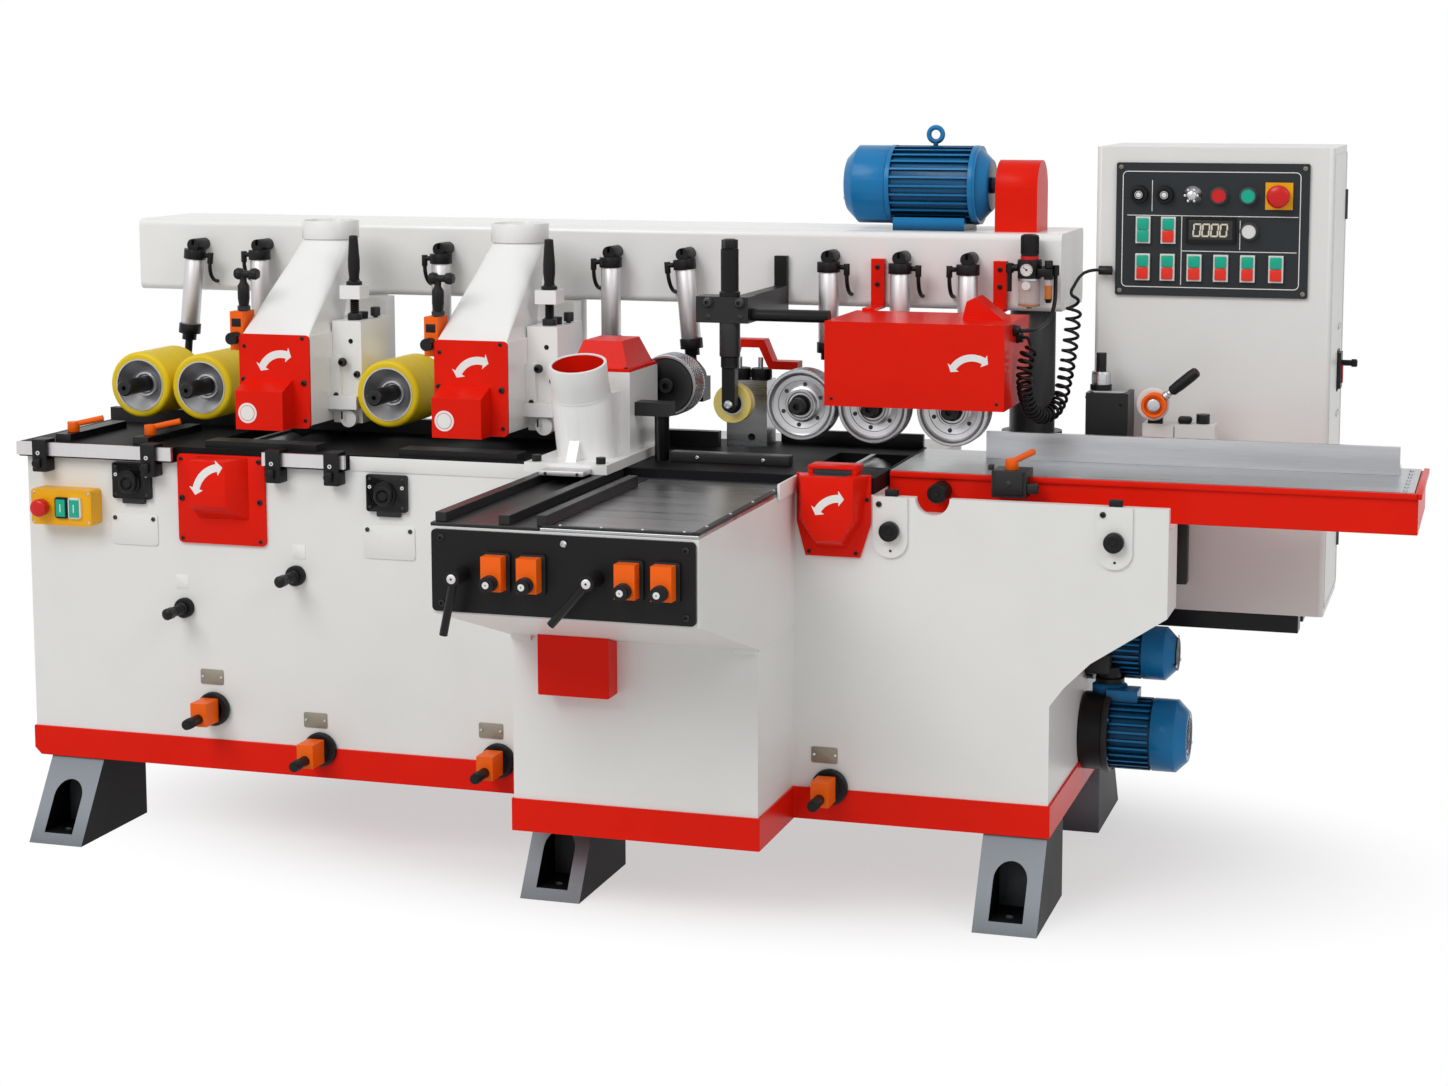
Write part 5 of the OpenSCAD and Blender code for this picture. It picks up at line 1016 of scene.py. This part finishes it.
def cover_details(mats):
    """Screws and arrows on the covers of the bottom heads and on the roller guard."""
    left, right = sorted(solids("spindle_covers"), key=lambda box: box[0][0])
    p = Piece("cover_details")
    plate = BASE_FRONT - COVER_T
    (x0, _, z0), (x1, _, z1) = left
    for x, z, r in ((x0 + 9, z1 - 10, 4), (x1 - 12, z1 - 10, 5), (x0 + 9, z1 - 88, 6),
                    (x1 - 11, z1 - 90, 6), (x0 + 9, z0 + 9, 4), (x1 - 11, z0 + 9, 4)):
        p.screw((x, plate, z), r)
    p.arrow(x0, z1, LEFT_ARROW, plate - LEFT_HUMP_OUT)
    (x0, _, z0), (x1, _, _) = right
    p.arrow(x0, z0, RIGHT_ARROW, plate - RIGHT_HUMP_OUT)
    for x, z in ((x0 + 24, z0 + 8), (x1 - 27, z0 + 8), (x1 - 6, z0 + 108)):
        p.screw((x, plate, z), 4)
    x0, face, z0 = reach("roller_guard")[0]
    p.arrow(GUARD_RIGHT, z0, GUARD_ARROW, face)
    p.screws((x0 + 14, GUARD_RIGHT - 14), face, z0 + 14, 3)
    p.screws(STRAP_X, STRAP_FRONT, STRAP_SCREWS, 5)
    for y, z in FITTINGS:
        p.lathe(FITTING, (GUARD_RIGHT, y, z), X, 24)
    p.done(mats, "red_paint")


# Front of the base
def front_plates(mats):
    """Bare plates, screws, knobs and trim on the front of the base."""
    p = Piece("front_plates")
    face = BASE_FRONT
    for x, z in NAME_PLATES:
        outline = round_outline((x - 14, z - 14), (x + 14, z + 14), 2)
        p.plate(outline, face - 1, face, "print", edge=0.3)
    for x0, x1, z0, z1 in PADS:
        p.plate(round_outline((x0, z0), (x1, z1), 6), face - PAD_T, face, "white", edge=0.8)
        p.screws((x0 + 9, x1 - 9), face - PAD_T, z1 - 10, 4.5, "dark")
    for x, z in SCALES:
        outline = round_outline((x - 25, z - 15), (x + 25, z + 15), 3)
        p.plate(outline, face - SCALE_T, face, "tarnish", edge=0.4)
        p.screws((x - 20, x + 20), face - SCALE_T, z, 3, "steel")
    for box in pick("bearing_plates", wide=over(70)):
        bearing_plate(p, *box)
    for box in pick("bearing_plates", wide=(60, 70)):
        knob_plate(p, *box)
    for x, z in CRANKS:
        p.lathe(CRANK_FLANGE, (x, face, z), Y, 32)
        p.lathe(CRANK_END, (x, face, z), Y, 28)
    p.block((TRIM_END, face - 2, BED_LOW - 1), (ARM_LEFT, face, BED_LOW + 27), "white", 0.6)
    z0, z1 = GUSSET_Z
    for x0, x1 in GUSSETS:
        p.block((x0, PEDESTAL_FRONT - 9, z0), (x1, PEDESTAL_FRONT, z1), "white", 2)
    p.block(*CABINET_POST, "black", 2)
    p.lathe(NOTCH_KNOB, NOTCH_KNOB_AT, Y, 30)
    p.done(mats, "white_paint")


def bearing_plate(p, low, high):
    """Screws, a stepped boss and a tab on a black plate."""
    (x0, front, z0), (x1, _, z1) = low, high
    x, _, z = middle(low, high)
    y = BASE_FRONT - PLATE_T
    outline = round_outline((x0 - 2, z0 - 1), (x1 + 2, z1 + 1), 4)
    p.plate(outline, y - 2, BASE_FRONT, "black", edge=1)
    p.screws((x0 + 6, x1 - 6), y - 2, (z0 + 8, z1 - 7), 3, "dark")
    for ring_x in (x0 + 6, x1 - 6):
        p.lathe(PLATE_RING, (ring_x, y, z + 12), Y, 16)
    p.lathe(BOSS, (x, front, z - 3), Y, 32)
    p.block((x0 + 18, y - 1, z0 - 11), (x1 - 12, BASE_FRONT, z0 + 1), "black", 2)


def knob_plate(p, low, high):
    """Screws and a knob on a rounded white plate, and the black stop above it."""
    x0, y, z0 = low
    x = middle(low, high)[0]
    p.screw((x0 + 11, y, high[2] - 14), 5.5)
    p.screw((x + 1, y, z0 + 13), 2.5, "dark")
    p.lathe(PLATE_KNOB, (x, y, z0 + 50), Y, 28)
    p.block((x - 12, BASE_FRONT + 2, BED_LOW - 4), (x + 12, BASE_FRONT + 16, BED_LOW + 10),
            "plastic", 2.5)


# The control panel
def panel_details(mats):
    """Printed lines, screws, buttons and a display on the control panel."""
    (x0, face, z0), (x1, _, z1) = one("control_panel", wide=over(300))
    p = Piece("panel_details")
    split = z1 - 102
    low_split = z0 + 88
    wall = x0 + 128
    rim = round_outline((x0 + 13, z0 + 17), (x1 - 17, z1 - 17), 9)
    p.stroke(rim, 1.6, face, "print", closed=True)
    for path in (((x0 + 22, split), (x1 - 20, split)), ((wall, split), (wall, z0 + 22)),
                 ((wall, low_split), (x1 - 22, low_split)),
                 ((x0 + 70, z1 - 34), (x0 + 70, split + 8)),
                 ((x0 + 240, split - 8), (x0 + 240, low_split + 4))):
        p.stroke(path, 1.4, face, "print")
    p.screws((x0 + 9, x1 - 9), face, (z0 + 9, z1 - 9), 4.5, "tarnish")
    double_buttons(p)
    for low, high in pick("control_panel", wide=near(30)):
        x, z, _ = hub(low, high)
        knob = z > split and x < x0 + 0.3 * (x1 - x0)
        round_button(p, x, z, low[1], face, knob)
    low, high = one("control_panel", wide=near(15))
    x, z, _ = hub(low, high)
    p.lathe(KEY_SWITCH, (x, low[1], z), Y, 24)
    for bx, bz in ring_outline(x, z, 12, 6):
        p.lathe(KEY_BALL, (bx, low[1], bz), Y, 10)
    display(p, *one("control_panel", wide=(80, 110)))
    p.done(mats, "panel_grey")


def double_buttons(p):
    """A green and a red cap on each double button, two green ones on the first."""
    boxes = pick("control_panel", wide=near(28))
    boxes.sort(key=lambda box: (-box[0][2], box[0][0]))
    for n, (low, high) in enumerate(boxes):
        z = middle(low, high)[2]
        for z0, z1, key in ((z + 0.6, high[2] - 3, "green"),
                            (low[2] + 3, z - 0.6, "lamp_red" if n else "green")):
            p.block((low[0] + 3, low[1] - 4, z0), (high[0] - 3, low[1] + 1, z1), key, 1.6)


def round_button(p, x, z, front, face, knob):
    """Rings round a button, and the raised middle of a selector knob."""
    ring = "plastic" if knob else "dark"
    p.lathe([(15.2, -4, ring), (18, -4), (18, -0.2)], (x, face, z), Y, 32)
    p.lathe([(15.1, 2, ring), (16, 1), (15.6, -1), (13.6, -1.4), (13.2, 0.2)], (x, front, z), Y, 32)
    if knob:
        p.lathe(SELECTOR, (x, front, z), Y, 28)


def display(p, low, high):
    """A frame, a dark screen and four noughts."""
    (x0, y, z0), (x1, _, z1) = low, high
    p.stroke(round_outline((x0 + 2, z0 + 2), (x1 - 2, z1 - 2), 2), 3, y, "plastic", -2.2, True)
    p.block((x0 + 6, y - 0.5, z0 + 7), (x1 - 6, y, z1 - 6), "screen", 0.2)
    for k in range(4):
        nought(p, x0 + 22 + 17 * k, (z0 + z1) / 2, y - 0.5, 23)


def nought(p, x, z, face, h):
    """A plain seven segment nought that leans."""
    w, t, side = h * 0.55, h * 0.13, h * 0.46
    bars = [(0, dz, w, t) for dz in (h / 2, -h / 2)]
    bars += [(dx, dz, t, side) for dz in (h / 4, -h / 4) for dx in (-w / 2, w / 2)]
    for dx, dz, sx, sz in bars:
        at = x + dx + 0.12 * dz
        p.block((at - sx / 2, face - 0.5, z + dz - sz / 2), (at + sx / 2, face, z + dz + sz / 2),
                "lit", 0)


def mushroom(mats, node):
    """A domed cap with a rolled edge on a stop button."""
    low, high = reach(node)
    x, z, r = hub(low, high)
    rise = 0.28 * r
    p = Piece(node + "_cap", node)
    dome = [(r * math.sin(a), -rise * math.cos(a)) for a in (math.pi / 14 * k for k in range(1, 8))]
    p.lathe([(0, -rise, "red_cap"), *dome, (r + 0.8, 1.5), (r + 0.8, 4), (r, 6)], (x, low[1], z))
    p.done(mats, "red_plastic")


# Side arm
def arm_details(mats):
    """Screws on the arm's panel, plates behind the orange boxes, rings on all their knobs."""
    (x0, face, z0), (x1, _, z1) = reach("arm_panel")
    p = Piece("arm_details")
    p.screws((x0 + 18, x1 - 16), face, (z0 + 14, z1 - 14), 6)
    p.screw(((x0 + x1) / 2 + 4, face, z1 - 14), 6, "steel")
    for low, high in pick("position_indicators", wide=near(36, 3)):
        x, z, _ = hub(low, high)
        if low[1] < ARM_NEAR:
            outline = round_outline((low[0] - 3, low[2] - 5), (high[0] + 7, high[2] + 4), 5)
            p.plate(outline, face - 5, face, "plastic", edge=1)
        else:
            p.lathe(ADJUSTER_FLANGE, (x + 3, BASE_FRONT, z), Y, 36)
    for low, high in pick("position_indicators", wide=under(30)):
        indicator_knob(p, low, high)
    p.done(mats, "black_plastic")


def indicator_knob(p, low, high):
    """A dot on the end of an indicator's knob and three rings round it."""
    x, z, r = hub(low, high)
    y = low[1]
    dot = "bare" if y < ARM_NEAR else "plastic"
    p.lathe([(0, -1.8, "plastic"), (1.3, -1.8, dot), (r * 0.42, -1.8), (r * 0.46, -1.2, "plastic"),
             (r * 0.8, -1.2), (r - 0.4, 1.5)], (x, y, z), Y, 24)
    for k in range(3):
        p.lathe([(r - 0.1, 0, "plastic"), (r + 0.9, 0.8), (r + 0.9, 2.2), (r - 0.1, 3)],
                (x, y + 7 + 5 * k, z), Y, 24)


def lever_details(mats, i):
    """A bright screw on a clamp lever's hub."""
    name = "clamp_lever_%d" % i
    x, z = CLAMP_AT[i]
    p = Piece(name + "_details", name)
    p.lathe(LEVER_SCREW, (x, reach(name)[0][1], z), Y, 24)
    p.done(mats, "black_plastic")


# Air service unit
def air_details(mats):
    """Ribs on the knob, a gauge, a bowl, a sight tube and an elbow on the air unit."""
    p = Piece("air_details")
    low, high = one("air_unit", wide=near(34))
    x, y, _ = middle(low, high)
    r = (high[0] - low[0]) / 2
    p.ribs((r - 0.6, -1.1, low[2] + 4), (r + 0.9, 1.1, high[2] - 3), "plastic", 0.5, (x, y, 0), 22)
    p.lathe([(0, 2, "plastic"), (r - 5, 2), (r - 1.5, -0.2)], (x, y, high[2]), Z, 32)
    p.lathe([(r + 1, -8, "plastic"), (r + 6, -8), (r + 7, -12), (r + 7, -18), (r + 5, -20)],
            (x, y, low[2]), Z, 36)
    gauge = one("air_unit", wide=near(28))
    air_gauge(p, *gauge)
    low, high = one("air_unit", wide=near(42))
    p.lathe(BOWL_RING, (x, y, high[2]), Z, 32)
    p.lathe(BOWL_FOOT, (x, y, low[2]), Z, 32)
    p.lathe(BOWL_BUTTON, (x - 2, y, high[2] - 13), Y, 24)
    base = high[2] + 6
    p.lathe(SIGHT_TUBE, (x + 40, y - 14, base), Z, 24)
    p.block((x + 18, y - 20, base - 2), (x + 48, y + 6, base + 14), "plastic", 2)
    p.lathe(SIGHT_CAP, (x + 40, y - 14, base), Z, 24)
    z = middle(*gauge)[2]
    p.lathe(AIR_PIPE, (x - 40, y - 4, z + 2), X, 20)
    p.lathe(AIR_ELBOW, (x - 38, y - 4, z), Z, 20)
    p.done(mats, "black_plastic")


def air_gauge(p, low, high):
    """A rim, a hub, a needle and ticks on the gauge."""
    x, z, _ = hub(low, high)
    at = (x, low[1], z)
    p.lathe(GAUGE_RIM, at, Y, 32)
    p.lathe(GAUGE_HUB, at, Y, 14)
    p.block((-0.5, -0.9, -2), (0.5, -0.3, 9), "plastic", 0,
            Matrix.Translation(at) @ Matrix.Rotation(math.radians(GAUGE_NEEDLE), 4, "Y"))
    for k in range(GAUGE_TICKS):
        a = math.radians(GAUGE_FIRST + GAUGE_STEP * k)
        p.lathe(GAUGE_TICK, (x + 9.6 * math.cos(a), low[1], z + 9.6 * math.sin(a)), Y, 8)


# Motors
def motor_details(mats):
    """Cowl lines, bolts and rings on the motors, and the lower motor's bell and pipe."""
    p = Piece("motor_details")
    for at, way, r in MOTOR_ENDS:
        for k in range(4):
            ring = r * (0.25 + 0.16 * k)
            wide = ring + r * 0.07
            p.lathe([(ring, 0, "black"), (ring, way * 0.8), (wide, way * 0.8), (wide, 0)], at, X)
        for y, z in ring_outline(at[1], at[2], r * 0.86, 3, 0.75):
            p.screw((at[0], y, z), 3.5, "steel", X, way)
    (x0, y0, z0), (_, y1, _) = one("drive_motors", wide=over(170))
    yc = (y0 + y1) / 2
    zc = z0 + (y1 - y0) / 2
    wall = x0 - 18
    p.lathe(MOTOR_BELL, (wall, yc, zc), X, 48)
    for y, z in ring_outline(yc, zc, 74, 6, 0.5):
        p.screw((wall + 57, y, z), 4, "blue", X, 1)
    p.lathe(MOTOR_PIPE, (x0 + 30, yc + 20, zc), Z, 32)
    p.block((x0 - 14, yc - 6, zc + 110), (x0 + 34, yc + 60, zc + 150), "black", 6)
    for x in FEED_RINGS:
        p.lathe(FEED_RING, (x, *FEED_AXIS), X, 48)
    for y, z in ring_outline(*FEED_AXIS, 66, 8, 0.5):
        p.screw((FEED_BELL, y, z), 4.5, "blue", X, 1)
    p.done(mats, "blue_paint")


# Infeed stop, press post and right block
def stop_lever_details(mats):
    """The ring, knurled centre and grip of the stop lever."""
    (_, front, _), (_, back, _) = reach("stop_lever")
    x, z = STOP_PIVOT
    p = Piece("stop_lever_details", "stop_lever")
    p.lathe(STOP_CENTRE, (x, front, z), Y, 24)
    p.ribs((7, -3.7, -0.5), (11, -2.6, 0.5), "steel", 0, (x, front, z), 24, "Y")
    p.lathe(STOP_RING, (x, front, z), Y, 36)
    lean = Matrix.Translation((x, back - 9, z)) @ Matrix.Rotation(math.radians(STOP_LEAN), 4, "Y")
    p.lathe(STOP_GRIP, axis=Z, steps=24, turn=lean)
    p.done(mats, "orange_plastic")


def stop_block_details(mats):
    """The white disc behind the stop lever, and details on the stop block, spindle and rest."""
    back = reach("stop_lever")[1][1]
    p = Piece("stop_block_details")
    for profile in (REST_RIM, REST_FACE):
        p.lathe(profile, (STOP_PIVOT[0] - 4, back, STOP_PIVOT[1]))
    (x0, y0, _), (x1, y1, z1) = one("infeed_stop", wide=near(82))
    p.plate(round_outline((x0 + 6, y0 + 6), (x1 - 6, y1 - 18), 8), z1, z1 + 3, "steel", Z, 0.6)
    low, high = one("infeed_stop", wide=near(36))
    x, y, _ = middle(low, high)
    p.lathe(COLLAR_RING, (x, y, low[2]), Z, 32)
    p.ribs((17.6, -0.7, low[2] + 16), (18.5, 0.7, high[2] - 5), "steel", 0, (x, y, 0), 30)
    p.screw((x1 - 14, y0, z1 - 20), 4)
    p.screw((x0 - 0.2, y0 + 14, z1 - 10), 4, "steel", X, -1)
    (x0, y0, z0), (x1, _, z1) = one("infeed_stop", wide=over(120))
    p.block((x0 + 66, y0 + 8, z1), (x0 + 92, y0 + 30, z1 + 14), "plastic", 5)
    p.block((x0 + 60, y0 - 0.6, z0 + 4), (x0 + 61.2, y0 + 0.2, z1 - 4), "plastic", 0)
    p.screws((x0 + 14, x1 - 14), y0, z0 + 14, 4, "steel")
    p.done(mats, "black_plastic")


def press_details(mats):
    """Bearing ring on the press wheel, then bolts and sleeves on its stem."""
    low, high = reach("press_wheel")
    x, z, _ = hub(low, high)
    p = Piece("press_wheel_details", "press_wheel")
    p.lathe(PRESS_BEARING, (x, low[1], z))
    p.done(mats, "yellow_tyre")
    p = Piece("press_post_details")
    p.screw((x, STEM_FRONT, z), 9, "steel")
    for profile in (STEM_SLEEVE, STEM_TOP):
        p.lathe(profile, (x, STEM_FRONT + 11, z), Z, 28)
    p.screws((x - 37, x + 26), STEM_FRONT - 8, z + 197, 10, "dark", head=1.0)
    p.screws((x - 37, x + 26), STEM_FRONT - 8, z + 170, 5, "dark")
    p.lathe(STEM_CAP, (x, STEM_FRONT + 11, reach("press_post")[1][2]), Z, 24)
    p.done(mats, "black_steel")


def right_block_details(mats):
    """Ribs and pins on the ring adjusters of the right head's block, and a hole in it."""
    p = Piece("right_block_details")
    for low, high in pick("right_block", wide=near(40)):
        x, y, _ = middle(low, high)
        p.ribs((19.6, -1, low[2] + 3), (20.8, 1, high[2] - 3), "plastic", 0.3, (x, y, 0), 26)
        p.lathe(RING_PIN, (x, y - 6, high[2]), Z, 16)
    low, high = one("right_block", foot=under(810))
    # Painted shade: the hole is a black disc
    p.lathe(BLOCK_HOLE, (middle(low, high)[0] + 10, low[1], low[2] + 18), Y, 20)
    p.done(mats, "bright_steel")


# Infeed table, bed bars and the side arm's top
def infeed_details(mats):
    """The lip along the infeed table, screws on it, bars on the bed and the clamp jaw."""
    (x0, y0, _), (x1, y1, z1) = reach("infeed_frame")
    p = Piece("infeed_details")
    p.block((x0 + 2, y0 - 6, z1 - 10), (x1, y0 + 4, z1), "red", 1.5)
    p.block((x1 - 4, y0 - 6, z1 - 10), (x1 + 6, y1 - 100, z1), "red", 1.5)
    p.screws(x1 - 24, [y0 + 30 + 40 * k for k in range(7)], z1, 4, "steel", Z, 1)
    for low, high, tall in BED_BARS:
        p.block((*low, BED_TOP + 0.2), (*high, BED_TOP + tall), "black", 1.5)
    p.screws(BAR_SCREWS, BED_BARS[0][0][1], BED_TOP + 9, 4, "steel")
    arm_top(p)
    (x0, y0, z0), (x1, _, z1) = one("infeed_table", wide=under(100))
    p.block((x1 - 1, y0 + 3, z0 + 8), (x1 + 20, y0 + 22, z0 + 26), "black", 2)
    p.block((x0 - 8, y0 + 6, z1 - 14), (x0 + 1, y0 + 24, z1 - 4), "black", 2)
    p.block((x0 + 6, y0 - 3, z0 + 6), (x1 - 6, y0 + 1, z1 - 12), "black", 1.5)
    p.screw(((x0 + x1) / 2, y0 - 3, (z0 + z1) / 2 - 4), 5, "dark")
    p.done(mats, "red_paint")


def arm_top(p):
    """Edge bars with screws and a white end on the side arm's top plates."""
    left, right = pick("arm_table", wide=over(150))
    x0, y0, _ = left[0]
    x1, y1, top = right[1]
    p.block((x1 - 12, y0 + 4, top), (x1, y1 - 4, top + 5), "black", 1)
    p.block((x0 + 200, y0 + 2, top), (x1 - 12, y0 + 12, top + 4), "black", 1)
    p.block((x1 + 0.3, y1 - 120, top - 12), (x1 + 6, y1, top + 18), "white", 2)
    p.screws([x0 + 230 + 72 * k for k in range(4)], y0 + 7, top + 4, 3, "steel", Z, 1)
    p.screws(x1 - 6, [y0 + 60 + 130 * k for k in range(4)], top + 5, 3, "steel", Z, 1)


# Cabinet and the base's back
def cabinet_details(mats):
    """Screws and the switch on the cabinet's side."""
    side = one("cabinet_body", tall=over(500))[1][0]
    _, y, z = middle(*one("cabinet_body", wide=under(10)))
    p = Piece("cabinet_details")
    p.screws(side, (y - 14, y + 20), (z - 88, z + 88), 6, "steel", X, 1)
    p.stroke(round_outline((y - 26, z - 40), (y + 26, z + 40), 4), 3, side, "plastic", 1.5, True, X)
    p.block((side + 8, y - 7, z - 26), (side + 11, y + 7, z + 12), "red_cap", 1)
    p.lathe(SWITCH_KNOB, (side, y + 4, z + 14), X, 20)
    p.done(mats, "white_paint")


def back_details(mats):
    """Access panels with louvres on the base's back, and the cabinet's side door."""
    p = Piece("back_details")
    back = reach("base_frame")[1][1]
    for x0, x1 in BACK_PANELS:
        back_panel(p, x0, x1, back)
    (_, y0, z0), (side, y1, z1) = one("cabinet_body", tall=over(500))
    door = round_outline((y0 + 12, z0 + 14), (y1 - 12, z1 - 14), 8)
    p.stroke(door, 2, side, "white", 1.5, True, X)
    for z in (z0 + 120, z1 - 120):
        p.lathe(HINGE, (side - 1, y1 - 10, z), Z, 16)
    p.done(mats, "white_paint")


def back_panel(p, x0, x1, back):
    """One access panel with its screws and louvres."""
    z0, z1 = BACK_PANEL_Z
    p.plate(round_outline((x0, z0), (x1, z1), 10), back, back + 2, "white", edge=0.8)
    p.screws((x0 + 16, (x0 + x1) / 2, x1 - 16), back + 2, (z0 + 16, z1 - 16), 5, "dark", Y, 1)
    lean = Matrix.Rotation(math.radians(LOUVRE_LEAN), 4, "X")
    for k in range(LOUVRES):
        z = z0 + 60 + LOUVRE_STEP * k
        p.block((x1 - 200, -1, -5), (x1 - 40, 7, -3.5), "white", 0.5,
                Matrix.Translation((0, back + 2, z)) @ lean)
        # Painted shade: a dark strip in the slot under each louvre
        p.block((x1 - 198, back + 1, z - 12), (x1 - 42, back + 2.3, z - 6), "dark", 0.2)


# Trim clips, start box and side hood
def clip_details(mats):
    """Trim clips with their ring screws and knobs, and the start box's details."""
    p = Piece("clip_details")
    for low, high in pick("bed_rails", wide=under(30), front=under(BASE_FRONT)):
        x = middle(low, high)[0] + 4
        y = low[1]
        x0, x1 = x - CLIP_HALF, x + CLIP_HALF
        p.block((x0, y - 4, CLIP_LOW), (x1, y + 1, CLIP_TOP), "plastic", 2)
        p.block((x0, y - 3, CLIP_TOP - 7), (x1, BASE_FRONT + 4, CLIP_TOP), "plastic", 2)
        p.block((x0, y, CLIP_LOW), (x1, BASE_FRONT, CLIP_LOW + 26), "plastic", 2)
        p.lathe(CLIP_RING, (x - 2, y, CLIP_TOP - 27), Y, 18)
        p.block((x - 11, y - 11, CLIP_LOW + 8), (x + 5, y - 3, CLIP_LOW + 28), "plastic", 3)
        p.lathe(CLIP_KNOB, (x - 5, y, CLIP_LOW + 17), Y, 18)
    start_box(p)
    p.done(mats, "black_plastic")


def start_box(p):
    """Screws and a line on the start box, frames and marks on its two buttons."""
    (x0, face, z0), (x1, _, z1) = one("start_box", wide=over(100))
    p.screws((x0 + 7, x1 - 7), face, (z0 + 7, z1 - 7), 3, "steel")
    p.stroke(round_outline((x0 + 3, z0 + 3), (x1 - 3, z1 - 3), 6), 0.8, face, "yellow", closed=True)
    for low, high in pick("start_box", wide=under(30)):
        rim_key = "bare" if low[0] > x0 + 80 else "plastic"
        outline = round_outline((low[0] - 2, low[2] - 2), (high[0] + 2, high[2] + 2), 3)
        p.stroke(outline, 4, face, rim_key, -5, True)
        x = middle(low, high)[0]
        p.block((x - 1, low[1] - 0.5, low[2] + 9), (x + 1, low[1], high[2] - 9), "print", 0)


def side_hood_details(mats):
    """The side pipe's red lining with a black disc of painted shade at its bottom, its rim, bolts
    on the cap, and a bright bar.
    """
    p = Piece("side_hood_details", "side_hood")
    lean = Matrix.Translation(SIDE_PIPE) @ Matrix.Rotation(math.radians(SIDE_LEAN), 4, "X")
    back = lean.inverted()
    points = [back @ (v.co / MM) for v in NODES["side_hood"].data.vertices]
    pipe = [q for q in points if q.z > 100 and math.hypot(q.x, q.y) < SIDE_PIPE_R + 1]
    end = max(q.z for q in pipe)
    bore = min(math.hypot(q.x, q.y) for q in pipe) - 0.4
    rim = SIDE_PIPE_R + 0.3
    # Painted shade: a black disc closes the lining 120 mm down, for the dark inside the pipe
    p.lathe([(bore, end - 1.5, "red"), (bore, end - 120, "black"), (0, end - 120)],
            axis=Z, steps=48, turn=lean)
    p.lathe([(bore + 0.2, end - 1, "white"), (bore + 1, end + 0.6), (SIDE_PIPE_R - 1, end + 0.6),
             (rim, end - 2), (rim, end - 40), (rim + SIDE_STEP, end - SIDE_SPIGOT - 4)],
            axis=Z, steps=64, turn=lean)
    (x0, y0, z0), (x1, y1, _) = one("side_hood", foot=over(960))
    p.screws((x0 + 10, x1 - 10), (y0 + 9, y1 - 9), z0 + CAP_LIP, 4.5, "black", Z, 1)
    (x0, y0, z0), (x1, _, _) = BRIGHT_BAR
    p.block(*BRIGHT_BAR, "alu", 1)
    p.screws((x0 + 12, x1 - 12), y0, z0 + 4, 3, "dark")
    p.done(mats, "black_steel")


# Studio
def studio():
    """Pale floor that runs into white surroundings, and soft lamps."""
    world = bpy.data.worlds.new("studio")
    bpy.context.scene.world = world
    world.use_nodes = True
    tree = world.node_tree
    level = ranged(tree, seen_rays(tree), 0, 1, SKY_LEVEL, 1)
    feed(tree, tree.nodes["Background"], {"Color": FULL_WHITE, "Strength": level})
    bm = bmesh.new()
    bmesh.ops.create_circle(bm, cap_ends=True, radius=FLOOR_R, segments=96)
    mesh = bpy.data.meshes.new("floor")
    bm.to_mesh(mesh)
    bm.free()
    floor = show("floor", mesh)
    mesh.materials.append(floor_paint())
    for name, at, aim, width, power in LAMPS:
        lamp = bpy.data.lights.new(name, "AREA")
        lamp.size = width
        lamp.energy = power
        obj = show(name, lamp)
        obj.location = at
        obj.rotation_euler = (Vector(aim) - Vector(at)).to_track_quat("-Z", "Y").to_euler()


def seen_rays(tree):
    """One for rays that come from the camera or by way of gloss or glass, else nought."""
    path = add(tree, "ShaderNodeLightPath")
    total = path.outputs["Is Camera Ray"]
    for kind in ("Is Glossy Ray", "Is Transmission Ray"):
        inputs = {0: total, 1: path.outputs[kind]}
        total = add(tree, "ShaderNodeMath", inputs, operation="ADD", use_clamp=True).outputs[0]
    return total


def floor_paint():
    """White floor with the object's shadow, plain white further out."""
    mat, tree, bsdf = shader("floor")
    feed(tree, bsdf, {"Base Color": FLOOR_TONE, "Roughness": 0.85, "Specular IOR Level": 0.1})
    place = add(tree, "ShaderNodeTexCoord").outputs["Object"]
    squeeze = add(tree, "ShaderNodeVectorMath", {0: place, 1: FLOOR_SQUEEZE, 2: FLOOR_MIDDLE},
                  operation="MULTIPLY_ADD")
    away = add(tree, "ShaderNodeVectorMath", {0: squeeze.outputs[0]}, operation="LENGTH")
    fade = ranged(tree, away.outputs["Value"], *FADE, FADE_NEAR, 1, interpolation_type="SMOOTHSTEP")
    share = add(tree, "ShaderNodeMath", {0: fade, 1: seen_rays(tree)}, operation="MULTIPLY")
    glow = add(tree, "ShaderNodeEmission")
    mixer = add(tree, "ShaderNodeMixShader",
                {0: share.outputs[0], 1: bsdf.outputs[0], 2: glow.outputs[0]})
    feed(tree, tree.nodes["Material Output"], {"Surface": mixer.outputs[0]})
    return mat


def main():
    """The whole scene, camera and cord first."""
    bpy.context.scene.view_settings.view_transform = "Standard"
    camera()
    mats = materials()
    curly_hose(mats)
    dress_frame(mats)
    for i in SOFT_ROLLERS:
        soft_roller(mats, i)
    for i in STEEL_WHEELS:
        steel_wheel(mats, i)
    for i in (1, 2):
        hood_details(mats, i)
        lever_details(mats, i)
    covers(mats)
    cover_details(mats)
    front_plates(mats)
    panel_details(mats)
    for node in PLAIN["red_cap"]:
        mushroom(mats, node)
    for details in (arm_details, air_details, motor_details, stop_lever_details,
                    stop_block_details, press_details, right_block_details, infeed_details,
                    cabinet_details, back_details, clip_details, side_hood_details):
        details(mats)
    for node in NODES:
        if node not in ("curly_hose", "air_unit"):
            soften(node)
    studio()


main()
